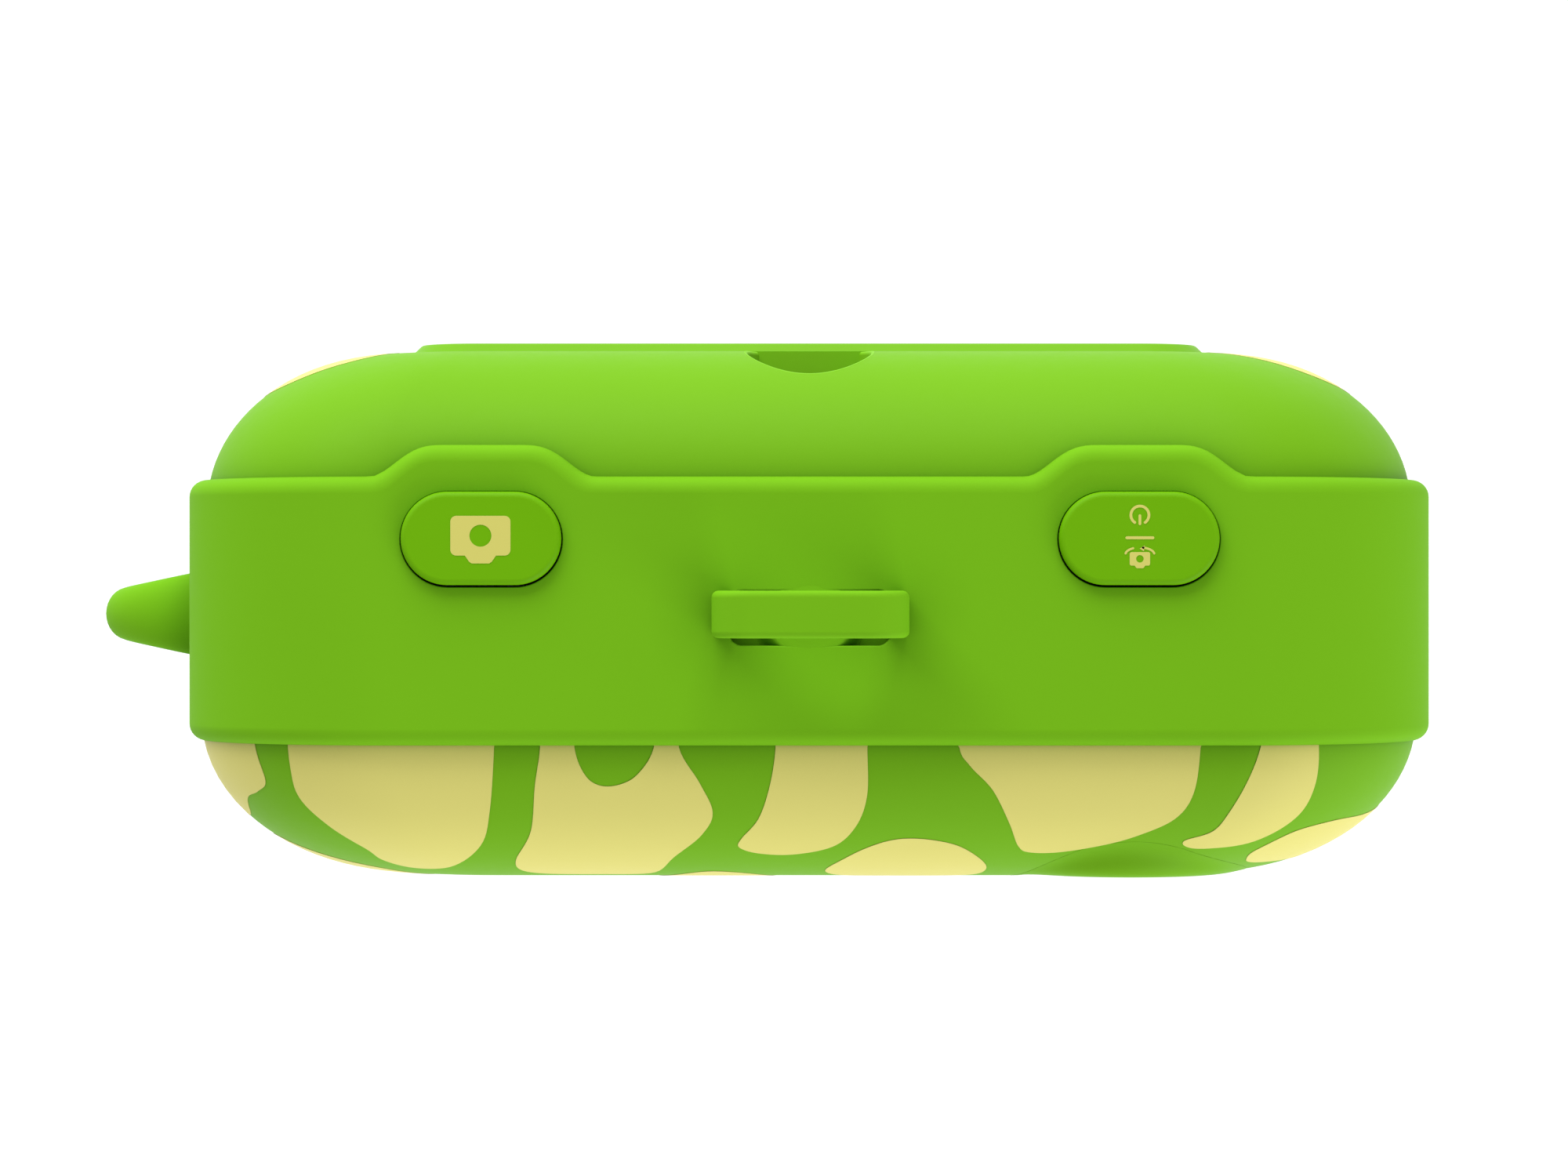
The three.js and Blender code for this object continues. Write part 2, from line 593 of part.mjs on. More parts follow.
function selfieModule() {
  const top = SELFIE.floor - SELFIE.base - FIT;
  const half = 4.25;
  return join(
    box(-half, half, top - 3.4, top, SELFIE.lensZ - half, SELFIE.lensZ + half),
    rodY(SELFIE.inner - 0.6, top - 1, SELFIE.floor + 0.2, 0, SELFIE.lensZ, 18),
  );
}

const flashWindow = () => rodY(FLASH.r, -FRONT.face - 0.1, -FRONT.face + WALL, FLASH.x, FLASH.z, 20);
const flashBoard = () =>
  join(
    box(FLASH.x - 6, FLASH.x + 6, -FRONT.face + 4.2, -FRONT.face + 5.2, FLASH.z - 4, FLASH.z + 4),
    box(FLASH.x - 1.6, FLASH.x + 1.6, -FRONT.face + 3, -FRONT.face + 4.3, FLASH.z - 1.6, FLASH.z + 1.6),
  );
const microphone = () => rodY(MIC.r, -FRONT.face + WALL + TOUCH, -FRONT.face + WALL + 1.6, MIC.x, MIC.z, 14);

function speaker() {
  const front = -FRONT.face + WALL + 0.6;
  return join(
    rodY(SPEAKER.r, front, front + 2.4, SPEAKER.x, SPEAKER.z, 24),
    rodY(SPEAKER.r * 0.6, front + 2, front + 4.4, SPEAKER.x, SPEAKER.z, 20),
  );
}

// ---------- Inside ----------
function mainBoard() {
  const halfZ = (BOARD.top - BOARD.bottom) / 2;
  const shape = roundedRect(BOARD.halfX, halfZ, BOARD.corner, 0, BOARD.bottom + halfZ);
  let made = prismY(shape, BOARD.front, BOARD.front + BOARD.thick, 3);
  for (const side of [-1, 1]) {
    made = cut(made, rodY(SHELL_SCREW.post + FIT, 0, 9, side * SHELL_SCREW.x, SHELL_SCREW.z, 14));
  }
  for (const [x, z] of BOARD_SCREWS) {
    made = cut(made, rodY(BOARD_SCREW.shaft + FIT, 0, 9, x, z, 10));
  }
  return made;
}

const BATTERY = { x: -16, width: 48, height: 34, thick: 6, z: 39 };
function batterySlab(thick, rear, inset) {
  const shape = roundedRect(BATTERY.width / 2 - inset, BATTERY.height / 2 - inset, 2, BATTERY.x, BATTERY.z);
  return prismY(shape, rear - thick, rear, 2);
}
const batteryPad = () => batterySlab(0.8, BOARD.front - TOUCH, 5);
const battery = () => batterySlab(BATTERY.thick, BOARD.front - 0.9, 0);

function usbSocket() {
  const mouth = BAND.width / 2 - BAND.wall - TOUCH;
  const shape = roundedRect(USB.height / 2, USB.width / 2, 1.5, USB.y, USB.z);
  const hole = roundedRect(USB.height / 2 - 0.3, USB.width / 2 - 0.3, 1.2, USB.y, USB.z);
  const tongue = box(USB.inside + 1, mouth - 1, USB.y - 0.35, USB.y + 0.35, USB.z - 3.2, USB.z + 3.2);
  return join(cut(prismX(shape, USB.inside, mouth, 2), prismX(hole, USB.inside + 1.2, mouth + 1, 2)), tongue);
}

function cardSocket() {
  const mouth = BAND.width / 2 - BAND.wall - TOUCH;
  const [half, high] = [CARD.width / 2, CARD.height / 2];
  return cut(
    box(CARD.inside, mouth, CARD.y - high, CARD.y + high, CARD.z - half, CARD.z + half),
    prismX(roundedRect(high / 2, half - 0.5, 0.1, CARD.y, CARD.z), CARD.inside + 1, mouth + 1),
  );
}

function portFlap() {
  const side = BAND.width / 2;
  const [mid, half] = [(FLAP.low + FLAP.high) / 2, (FLAP.high - FLAP.low) / 2];
  return prismX(roundedRect(FLAP.halfY, half, FLAP.corner, FLAP.y, mid), side - FLAP.thick, side, 3);
}

function shellScrew(side) {
  const x = side * SHELL_SCREW.x;
  return join(
    rodY(SHELL_SCREW.head, SHELL_SCREW.seat + TOUCH, SHELL_SCREW.seat + 1.9, x, SHELL_SCREW.z, 16),
    rodY(SHELL_SCREW.shaft, SHELL_SCREW.tip, SHELL_SCREW.seat + 1, x, SHELL_SCREW.z, 10),
  );
}

function boardScrew([x, z]) {
  const seat = BOARD.front + BOARD.thick + TOUCH;
  return join(
    rodY(BOARD_SCREW.head, seat, seat + 1.5, x, z, 14),
    rodY(BOARD_SCREW.shaft, BOARD_SCREW.tip, seat + 1, x, z, 10),
  );
}

// ---------- Assembly ----------
const FINISH = {
  green: { color: 0x72b51f, roughness: 0.45, metalness: 0 },
  button: { color: 0x70b20a, roughness: 0.4, metalness: 0 },
  black: { color: 0x17181a, roughness: 0.35, metalness: 0 },
  clear: { color: 0x1c2326, roughness: 0.05, metalness: 0 },
  rubber: { color: 0x66a51c, roughness: 0.8, metalness: 0 },
  silicone: { color: 0xd8d8d2, roughness: 0.7, metalness: 0 },
  board: { color: 0x14603a, roughness: 0.5, metalness: 0.1 },
  steel: { color: 0xb4b8bb, roughness: 0.3, metalness: 1 },
  foil: { color: 0x9fa6ad, roughness: 0.4, metalness: 0.6 },
  white: { color: 0xf2f2ec, roughness: 0.3, metalness: 0 },
};

const camera = new THREE.Group();
function place(name, finish, made) {
  const mesh = new THREE.Mesh(geometryOf(made), new THREE.MeshStandardMaterial(FINISH[finish]));
  mesh.name = name;
  camera.add(mesh);
}

place("middle_frame", "green", middleFrame());
place("front_shell", "green", frontShell());
place("rear_shell", "green", rearShell());
place("top_strap_loop", "green", topLoop());
place("side_strap_loop", "green", sideLoop());
place("shutter_button", "button", topButton(-1));
place("power_button", "button", topButton(1));
place("shutter_switch", "black", topSwitch(-1));
place("power_switch", "black", topSwitch(1));
place("screen_bezel", "green", screenBezel());
place("screen_window", "clear", screenWindow());
place("lcd_panel", "black", lcdPanel());
place("lcd_frame", "steel", lcdFrame());
Object.keys(KEY_PLACES).forEach((name) => place(name, "button", rearKey(name)));
place("key_membrane", "silicone", keySheet(MEMBRANE));
place("key_board", "board", keySheet(KEY_BOARD));
place("lens_ring", "green", lensRing());
place("lens_cover", "clear", lensCover());
place("lens_barrel", "black", lensBarrel());
place("lens_element", "clear", lensElement());
place("camera_board", "board", cameraBoard());
place("selfie_lens_ring", "black", selfieRing());
place("selfie_lens_cover", "clear", selfieCover());
place("selfie_camera_module", "black", selfieModule());
place("flash_window", "white", flashWindow());
place("flash_led_board", "board", flashBoard());
place("microphone", "steel", microphone());
place("speaker", "black", speaker());
place("main_board", "board", mainBoard());
place("battery", "foil", battery());
place("battery_pad", "silicone", batteryPad());
place("usb_c_socket", "steel", usbSocket());
place("microsd_socket", "steel", cardSocket());
place("port_flap", "rubber", portFlap());
place("shell_screw_left", "steel", shellScrew(1));
place("shell_screw_right", "steel", shellScrew(-1));
BOARD_SCREWS.forEach((spot, i) => place(`board_screw_${i + 1}`, "steel", boardScrew(spot)));

export default camera;
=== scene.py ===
import json
import math

import bmesh
import bpy
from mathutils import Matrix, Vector
from mathutils.geometry import delaunay_2d_cdt


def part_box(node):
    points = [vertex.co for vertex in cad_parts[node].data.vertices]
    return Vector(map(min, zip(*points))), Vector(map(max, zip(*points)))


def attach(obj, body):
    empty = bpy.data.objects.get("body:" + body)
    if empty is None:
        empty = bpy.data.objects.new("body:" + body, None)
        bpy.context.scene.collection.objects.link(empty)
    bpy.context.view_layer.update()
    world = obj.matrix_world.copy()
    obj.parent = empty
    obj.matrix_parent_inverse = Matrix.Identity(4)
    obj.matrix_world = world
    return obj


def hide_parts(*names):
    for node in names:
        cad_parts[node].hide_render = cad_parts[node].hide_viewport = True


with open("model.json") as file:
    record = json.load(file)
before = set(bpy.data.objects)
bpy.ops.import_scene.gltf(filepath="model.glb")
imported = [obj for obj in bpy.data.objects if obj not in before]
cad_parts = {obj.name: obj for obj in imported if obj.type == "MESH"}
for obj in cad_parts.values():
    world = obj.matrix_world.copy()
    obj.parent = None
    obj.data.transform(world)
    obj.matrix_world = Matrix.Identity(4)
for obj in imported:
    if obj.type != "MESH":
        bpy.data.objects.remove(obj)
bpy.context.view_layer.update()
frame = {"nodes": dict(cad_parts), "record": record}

# Kids digital camera as a product shot from straight above. Lengths are in millimetres here and
# become metres when a mesh is made. +Y is the rear (screen) side, the front lens looks along -Y.
MM = 0.001
BODY = "camera_body"


def box_mm(node):
    """A CAD node's lowest and highest corner, in millimetres."""
    low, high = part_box(node)
    return Vector(low) / MM, Vector(high) / MM


def middle(low, high):
    """The x and z of a box's centre."""
    return (low.x + high.x) / 2, (low.z + high.z) / 2


# ---------- Camera ----------
CAMERA_AT = (-2.26, 2.0, 489.0)
CAMERA_LENS = 109.44
CAMERA_SENSOR = 36.0


def add_camera():
    data = bpy.data.cameras.new("photo_camera")
    data.lens = CAMERA_LENS
    data.sensor_width = CAMERA_SENSOR
    data.clip_end = 20.0
    camera = bpy.data.objects.new("photo_camera", data)
    camera.location = [c * MM for c in CAMERA_AT]
    bpy.context.scene.collection.objects.link(camera)
    bpy.context.scene.camera = camera


add_camera()

# ---------- Sizes taken from the frame ----------
BAND_LOW, BAND_HIGH = box_mm("middle_frame")
BAND_HALF_X = BAND_HIGH.x
BAND_TOP = BAND_HIGH.z
BAND_EDGE = -BAND_LOW.y
MID_Z = BAND_TOP / 2
BAND_RADIUS = 19.0
BAND_WALL = 4.0
BAND_FILLET = 1.5
BUMP_RISE = BAND_HIGH.y - BAND_EDGE
SHELL_WALL = 2.2
SIDEWAYS = Vector((0, 1, 0))


# ---------- Mesh helpers ----------
def make_object(name, points, faces):
    mesh = bpy.data.meshes.new(name)
    mesh.from_pydata([[c * MM for c in p] for p in points], [], faces)
    bm = bmesh.new()
    bm.from_mesh(mesh)
    bmesh.ops.remove_doubles(bm, verts=bm.verts, dist=1e-7)
    bmesh.ops.recalc_face_normals(bm, faces=bm.faces)
    bm.to_mesh(mesh)
    bm.free()
    obj = bpy.data.objects.new(name, mesh)
    bpy.context.scene.collection.objects.link(obj)
    return obj


def carve(obj, outline, levels, place):
    """Cuts a lofted solid, given as for stack(), out of obj."""
    cutter = stack("cutter", outline, levels, place)
    step = obj.modifiers.new("carve", "BOOLEAN")
    step.operation = "DIFFERENCE"
    step.object = cutter
    step.solver = "EXACT"
    bpy.context.view_layer.update()
    graph = bpy.context.evaluated_depsgraph_get()
    mesh = bpy.data.meshes.new_from_object(obj.evaluated_get(graph))
    obj.modifiers.remove(step)
    old = obj.data
    obj.data = mesh
    bpy.data.meshes.remove(old)
    bpy.data.objects.remove(cutter)


def drill_y(obj, r, x, z, low, high, steps):
    """Cuts a round hole along Y out of obj."""
    carve(obj, disc(r, steps), [(0.0, low), (0.0, high)], put_y(x, z))


def finish_piece(obj, material, body=BODY, stands_for=(), sharp=32, weighted=True):
    """Shades a piece, gives it its material, and puts it on its body."""
    mesh = obj.data
    limit = math.radians(sharp)
    bm = bmesh.new()
    bm.from_mesh(mesh)
    for face in bm.faces:
        face.smooth = True
    for edge in bm.edges:
        edge.smooth = len(edge.link_faces) == 2 and edge.calc_face_angle(0.0) < limit
    bm.to_mesh(mesh)
    bm.free()
    mesh.materials.clear()
    mesh.materials.append(material)
    if weighted:
        step = obj.modifiers.new("weighted_normals", "WEIGHTED_NORMAL")
        step.keep_sharp = True
        step.weight = 100
    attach(obj, body)
    if stands_for:
        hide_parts(*stands_for)
    return obj


def arc(start, end, steps):
    """Angles in radians from start to end degrees, both ends included."""
    return [math.radians(start + (end - start) * i / steps) for i in range(steps + 1)]


def turns(count):
    """Angles in radians, evenly round a full turn."""
    return [2 * math.pi * i / count for i in range(count)]


def rounded_rect(half_a, half_b, r, steps=12, runs=(1, 1)):
    """A closed outline of (a, b) points. runs says how many pieces each pair of straight sides has."""
    corners = []
    for corner in range(4):
        middle_a = (half_a - r) * (1 if corner in (0, 3) else -1)
        middle_b = (half_b - r) * (1 if corner < 2 else -1)
        bend = arc(90 * corner, 90 * corner + 90, steps)
        corners.append([(middle_a + r * math.cos(t), middle_b + r * math.sin(t)) for t in bend])
    points = []
    for corner, bend in enumerate(corners):
        (a0, b0), (a1, b1) = bend[-1], corners[(corner + 1) % 4][0]
        count = runs[corner % 2]
        points += bend
        points += [(a0 + (a1 - a0) * i / count, b0 + (b1 - b0) * i / count) for i in range(1, count)]
    return points


def circle(r, steps=48):
    return [(r * math.cos(t), r * math.sin(t)) for t in turns(steps)]


def loft_faces(rows, count, capped=True):
    faces = []
    for row in range(rows - 1):
        for i in range(count):
            j = (i + 1) % count
            low, high = row * count, (row + 1) * count
            faces.append((low + i, low + j, high + j, high + i))
    if capped:
        faces.append(tuple(range(count)))
        faces.append(tuple((rows - 1) * count + i for i in range(count)))
    return faces


def loft(name, rings):
    """A closed solid through equal rings of 3-D points, with a flat cap at each end."""
    points = [p for ring in rings for p in ring]
    return make_object(name, points, loft_faces(len(rings), len(rings[0])))


def hoop(name, sections):
    """A closed ring solid through equal closed sections."""
    count = len(sections[0])
    points = [p for section in sections for p in section]
    faces = loft_faces(len(sections), count, capped=False)
    last = (len(sections) - 1) * count
    for i in range(count):
        j = (i + 1) % count
        faces.append((last + i, last + j, j, i))
    return make_object(name, points, faces)


def hoop_across(name, rings):
    """A closed ring solid from equal rings that follow its section."""
    return hoop(name, list(zip(*rings)))


def ring_y(x, z, r, y, steps=64):
    """A ring of points round an axis along Y."""
    return [(x + r * math.cos(t), y, z + r * math.sin(t)) for t in arc(0, 360, steps)[:-1]]


def stack(name, outline, levels, place):
    """A lofted solid: levels are (grow, height) pairs, outline(grow) gives the ring and place(a, b, height)
    puts its points in 3-D."""
    return loft(name, [[place(a, b, height) for a, b in outline(grow)] for grow, height in levels])


def put_z(x, y):
    return lambda a, b, height: (x + a, y + b, height)


def put_y(x, z):
    return lambda a, b, height: (x + a, height, z + b)


def put_x(y, z):
    return lambda a, b, height: (height, y + a, z + b)


def round_top(top, fillet, steps=7):
    """Levels of a convex rounded edge that ends at the given height."""
    return [(-fillet * (1 - math.cos(t)), top - fillet + fillet * math.sin(t)) for t in arc(0, 90, steps)]


def mouth(top, fillet, steps=6):
    """Levels of a cutter whose mouth flares out to the surface at top, and then leaves it."""
    flare = [(fillet * (1 - math.cos(t)), top - fillet + fillet * math.sin(t)) for t in arc(0, 78, steps)]
    return flare + [(fillet, top + 0.02), (fillet, top + 3)]


def stadium(length, width, steps=10):
    def outline(grow):
        half_a, half_b = length / 2 + grow, width / 2 + grow
        return rounded_rect(half_a, half_b, half_b - 0.001, steps)
    return outline


def rect(half_a, half_b, r, steps=8):
    def outline(grow):
        return rounded_rect(half_a + grow, half_b + grow, max(r + grow, 0.05), steps)
    return outline


def disc(r, steps=48):
    def outline(grow):
        return circle(r + grow, steps)
    return outline


def bezier(points, t):
    """The point at t on the curve of any number of control points."""
    while len(points) > 1:
        points = [[a + (b - a) * t for a, b in zip(p, q)] for p, q in zip(points, points[1:])]
    return points[0]


def smooth_loop(points, steps=7):
    """A closed Catmull-Rom curve through the points."""
    count = len(points)
    curve = []
    for i in range(count):
        p0, p1, p2, p3 = (Vector(points[(i + k) % count]) for k in (-1, 0, 1, 2))
        for k in range(steps):
            t = k / steps
            curve.append(
                0.5 * (2 * p1 + (p2 - p0) * t + (2 * p0 - 5 * p1 + 4 * p2 - p3) * t**2
                       + (3 * p1 - p0 - 3 * p2 + p3) * t**3)
            )
    return [(p.x, p.y) for p in curve]


def is_inside(point, outline):
    x, y = point
    hit = False
    for (x0, y0), (x1, y1) in zip(outline, outline[1:] + outline[:1]):
        if (y0 > y) != (y1 > y) and x < (x1 - x0) * (y - y0) / (y1 - y0) + x0:
            hit = not hit
    return hit


def inlay(outlines, place, top, bottom, spacing=None):
    """Points and faces of a thin closed plate. outlines[0] is its edge and the rest are holes in it;
    place(a, b, height) puts a point on the surface, and spacing fills the inside with a grid."""
    points, edges = [], []
    for outline in outlines:
        first, count = len(points), len(outline)
        points += outline
        edges += [(first + i, first + (i + 1) % count) for i in range(count)]
    if spacing:
        on_edge = list(points)
        xs, ys = zip(*outlines[0])
        for i in range(int((max(xs) - min(xs)) / spacing) + 1):
            for j in range(int((max(ys) - min(ys)) / spacing) + 1):
                p = (min(xs) + (i + 0.5) * spacing, min(ys) + (j + 0.5) * spacing)
                gap = min(math.dist(p, q) for q in on_edge)
                if gap > 0.4 * spacing and is_inside(p, outlines[0]):
                    points.append(p)
    flat, _, triangles, *_ = delaunay_2d_cdt([Vector(p) for p in points], edges, [], 0, 1e-6)
    kept = []
    for triangle in triangles:
        centre = sum((flat[i] for i in triangle), Vector((0, 0))) / 3
        if is_inside(centre, outlines[0]) and not any(is_inside(centre, hole) for hole in outlines[1:]):
            kept.append(tuple(triangle))
    count = len(flat)
    solid = [place(p.x, p.y, top) for p in flat] + [place(p.x, p.y, bottom) for p in flat]
    faces = kept + [tuple(count + i for i in reversed(t)) for t in kept]
    sides = {}
    for t in kept:
        for a, b in zip(t, t[1:] + t[:1]):
            sides[(a, b)] = sides.get((a, b), 0) + 1
    faces += [(b, a, count + a, count + b) for a, b in sides if (b, a) not in sides]
    return solid, faces


def merge(parts):
    """Joins (points, faces) pairs into one."""
    points, faces = [], []
    for more, their in parts:
        first = len(points)
        points += more
        faces += [tuple(first + i for i in face) for face in their]
    return points, faces


# ---------- Materials ----------
def new_material(name, colour, roughness, metallic=0.0, variation=0.03, grain=900.0, bump=0.04,
                 wear=0.05, gloss=0.12, painted_shade=0.0):
    """Moulded or plated surface: slow colour drift, fine grain in bump and roughness, painted shade in
    crevices.
    """
    material = bpy.data.materials.new(name)
    material.use_nodes = True
    tree = material.node_tree
    shader = tree.nodes["Principled BSDF"]
    shader.inputs["Metallic"].default_value = metallic
    shader.inputs["Specular IOR Level"].default_value = gloss
    where = tree.nodes.new("ShaderNodeTexCoord")
    drift = tree.nodes.new("ShaderNodeTexNoise")
    drift.inputs["Scale"].default_value = 45.0
    drift.inputs["Detail"].default_value = 3.0
    fine = tree.nodes.new("ShaderNodeTexNoise")
    fine.inputs["Scale"].default_value = grain
    fine.inputs["Detail"].default_value = 4.0
    tint = tree.nodes.new("ShaderNodeMix")
    tint.data_type = "RGBA"
    tint.inputs["A"].default_value = (*[c * (1 - variation) for c in colour], 1)
    tint.inputs["B"].default_value = (*[min(1, c * (1 + variation)) for c in colour], 1)
    rough = tree.nodes.new("ShaderNodeMapRange")
    rough.inputs["To Min"].default_value = max(0.02, roughness - wear)
    rough.inputs["To Max"].default_value = min(1.0, roughness + wear)
    relief = tree.nodes.new("ShaderNodeBump")
    relief.inputs["Strength"].default_value = bump
    relief.inputs["Distance"].default_value = 0.0002
    link = tree.links.new
    link(where.outputs["Object"], drift.inputs["Vector"])
    link(where.outputs["Object"], fine.inputs["Vector"])
    link(drift.outputs["Fac"], tint.inputs["Factor"])
    link(tint.outputs["Result"], shader.inputs["Base Color"])
    # Painted shade: an ambient-occlusion node darkens the base colour in crevices, recesses and beside raised
    # parts, by up to the given shade amount.
    if painted_shade:
        shade_occlusion = tree.nodes.new("ShaderNodeAmbientOcclusion")
        shade_occlusion.samples = 6
        shade_occlusion.inputs["Distance"].default_value = 0.006
        shade_mix = tree.nodes.new("ShaderNodeMix")
        shade_mix.data_type = "RGBA"
        shade_mix.inputs["A"].default_value = (*[c * (1 - painted_shade) for c in colour], 1)
        link(shade_occlusion.outputs["AO"], shade_mix.inputs["Factor"])
        link(tint.outputs["Result"], shade_mix.inputs["B"])
        link(shade_mix.outputs["Result"], shader.inputs["Base Color"])
    link(fine.outputs["Fac"], rough.inputs["Value"])
    link(rough.outputs["Result"], shader.inputs["Roughness"])
    link(fine.outputs["Fac"], relief.inputs["Height"])
    link(relief.outputs["Normal"], shader.inputs["Normal"])
    return material


def clear_material(name, tint, roughness, gloss):
    material = new_material(
        name, tint, roughness, variation=0.01, grain=60.0, bump=0.001, wear=0.01, gloss=gloss,
    )
    shader = material.node_tree.nodes["Principled BSDF"]
    shader.inputs["Transmission Weight"].default_value = 1.0
    shader.inputs["IOR"].default_value = 1.49
    return material


# The shade amounts below add painted shade: these greens and the yellow print darken in crevices, recesses
# and along seams.
FRAME_GREEN = new_material("frame_green", (0.172, 0.463, 0.010), 0.62, gloss=0.03, painted_shade=0.5)
SHELL_GREEN = new_material("shell_green", (0.165, 0.435, 0.008), 0.52, gloss=0.07, painted_shade=0.85)
PLATE_GREEN = new_material("plate_green", (0.168, 0.440, 0.007), 0.48)
# Painted light: the well and its shelf use the plate green made about a fifth brighter, to light up the
# shaded well.
WELL_GREEN_BRIGHTENED = new_material("well_green_painted_light", (0.20, 0.53, 0.009), 0.55)
BUTTON_GREEN = new_material("button_green", (0.150, 0.430, 0.001), 0.5, grain=1200.0, gloss=0.08)
PATCH_YELLOW = new_material("patch_yellow", (0.72, 0.67, 0.185), 0.5, variation=0.015, painted_shade=0.75)
ICON_YELLOW = new_material("icon_yellow", (0.66, 0.62, 0.15), 0.5, variation=0.01)
FLAP_GREEN = new_material("flap_green", (0.135, 0.37, 0.006), 0.7, grain=1500.0, bump=0.1, painted_shade=0.5)
BLACK = new_material("black_plastic", (0.012, 0.012, 0.013), 0.4)
MASK = new_material("mask_black", (0.006, 0.006, 0.007), 0.25)
LCD = new_material("lcd_dark", (0.008, 0.009, 0.012), 0.2, grain=200.0, bump=0.002)
WHITE = new_material("diffuser_white", (0.80, 0.79, 0.72), 0.3)
STEEL = new_material("plated_steel", (0.62, 0.62, 0.64), 0.3, metallic=1.0, grain=2500.0)
SCREW = new_material("screw_zinc", (0.52, 0.53, 0.55), 0.34, metallic=1.0, grain=3000.0)
SILICONE = new_material("silicone", (0.62, 0.62, 0.59), 0.7)
BOARD = new_material("solder_mask", (0.010, 0.12, 0.04), 0.45, grain=700.0)
FOIL = new_material("battery_foil", (0.55, 0.56, 0.58), 0.36, metallic=1.0, bump=0.2)
GLASS = clear_material("window_clear", (0.9, 0.93, 0.95), 0.03, 0.2)
COATED = clear_material("lens_coated", (0.55, 0.62, 0.85), 0.03, 0.6)

SLOT_MATERIAL = {
    "frame_plastic": FRAME_GREEN, "shell_plastic": SHELL_GREEN, "button_plastic": BUTTON_GREEN,
    "black_plastic": BLACK, "clear_window": GLASS, "lcd_glass": LCD, "diffuser": WHITE,
    "plated_steel": STEEL, "screw_steel": SCREW, "silicone": SILICONE, "flap_rubber": FLAP_GREEN,
    "circuit_board": BOARD, "battery_foil": FOIL,
}


def dress_cad_nodes():
    """Every CAD node gets its slot's procedural material; the ones with a finer piece are hidden later."""
    for entry in frame["record"]["subparts"]:
        mesh = frame["nodes"][entry["node"]].data
        mesh.materials.clear()
        mesh.materials.append(SLOT_MATERIAL[entry["material_slot"]])


dress_cad_nodes()


# ---------- Middle frame ----------
BUTTON_LOW, BUTTON_HIGH = box_mm("power_button")
BUTTON_X = (BUTTON_LOW.x + BUTTON_HIGH.x) / 2
BUTTON_Y = (BUTTON_LOW.y + BUTTON_HIGH.y) / 2
BUTTON_FLANGE = 1.2
BUTTON_LENGTH = BUTTON_HIGH.x - BUTTON_LOW.x - 2 * BUTTON_FLANGE
BUTTON_WIDTH = BUTTON_HIGH.y - BUTTON_LOW.y - 2 * BUTTON_FLANGE
BUTTON_GAP = 0.1
BUMP_HALF = 9.85
BUMP_FLAT = 3.4
BUMP_SHAPE = 1.4  # how early the swelling's S-curve falls
BAND_SPACING = 0.5


def bump(x):
    """How far the frame's rear edge swells out at x, and its slope there."""
    def rise(at):
        t = (abs(abs(at) - BUTTON_X) - BUMP_FLAT) / (BUMP_HALF - BUMP_FLAT)
        t = min(max(t, 0.0), 1.0)
        return BUMP_RISE * (1 + math.cos(math.pi * t**BUMP_SHAPE)) / 2
    step = 0.05
    return rise(x), (rise(x + step) - rise(x - step)) / (2 * step)


def band_stations():
    """(x, z, inward x, inward z) round the frame's outline, closely spaced along its top."""
    stations = []
    end = BAND_HALF_X - BAND_RADIUS
    count = int(2 * end / BAND_SPACING)
    for corner in range(4):
        centre_x = end * (1 if corner in (0, 3) else -1)
        centre_z = MID_Z + (MID_Z - BAND_RADIUS) * (1 if corner < 2 else -1)
        for angle in arc(90 * corner, 90 * corner + 90, 32):
            c, s = math.cos(angle), math.sin(angle)
            stations.append((centre_x + BAND_RADIUS * c, centre_z + BAND_RADIUS * s, -c, -s))
        if corner == 0:
            stations += [(end - 2 * end * i / count, BAND_TOP, 0.0, -1.0) for i in range(1, count)]
    return stations


def band_section(station):
    x, z, in_x, in_z = station
    swell, slope = bump(x) if z > MID_Z else (0.0, 0.0)
    rear = BAND_EDGE + swell
    stretch = BAND_FILLET * math.sqrt(1 + slope * slope)
    profile = [(BAND_WALL, -BAND_EDGE)]
    for t in arc(0, 90, 8):
        profile.append((BAND_FILLET * (1 - math.sin(t)), -BAND_EDGE + BAND_FILLET * (1 - math.cos(t))))
    for t in arc(0, 90, 8):
        profile.append((BAND_FILLET * (1 - math.cos(t)), rear - stretch * (1 - math.sin(t))))
    profile.append((BAND_WALL, rear))
    return [(x + in_x * inset, y, z + in_z * inset) for inset, y in profile]


LOOP_LOW, LOOP_HIGH = box_mm("top_strap_loop")
LOOP_Y = (LOOP_LOW.y + LOOP_HIGH.y) / 2
POCKET_LENGTH = 14.0
POCKET_WIDTH = 4.8
POCKET_DEPTH = 2.0
POCKET_Y = -0.6
FLAP_LOW, FLAP_HIGH = box_mm("port_flap")
FLAP_Y = (FLAP_LOW.y + FLAP_HIGH.y) / 2
FLAP_Z = (FLAP_LOW.z + FLAP_HIGH.z) / 2


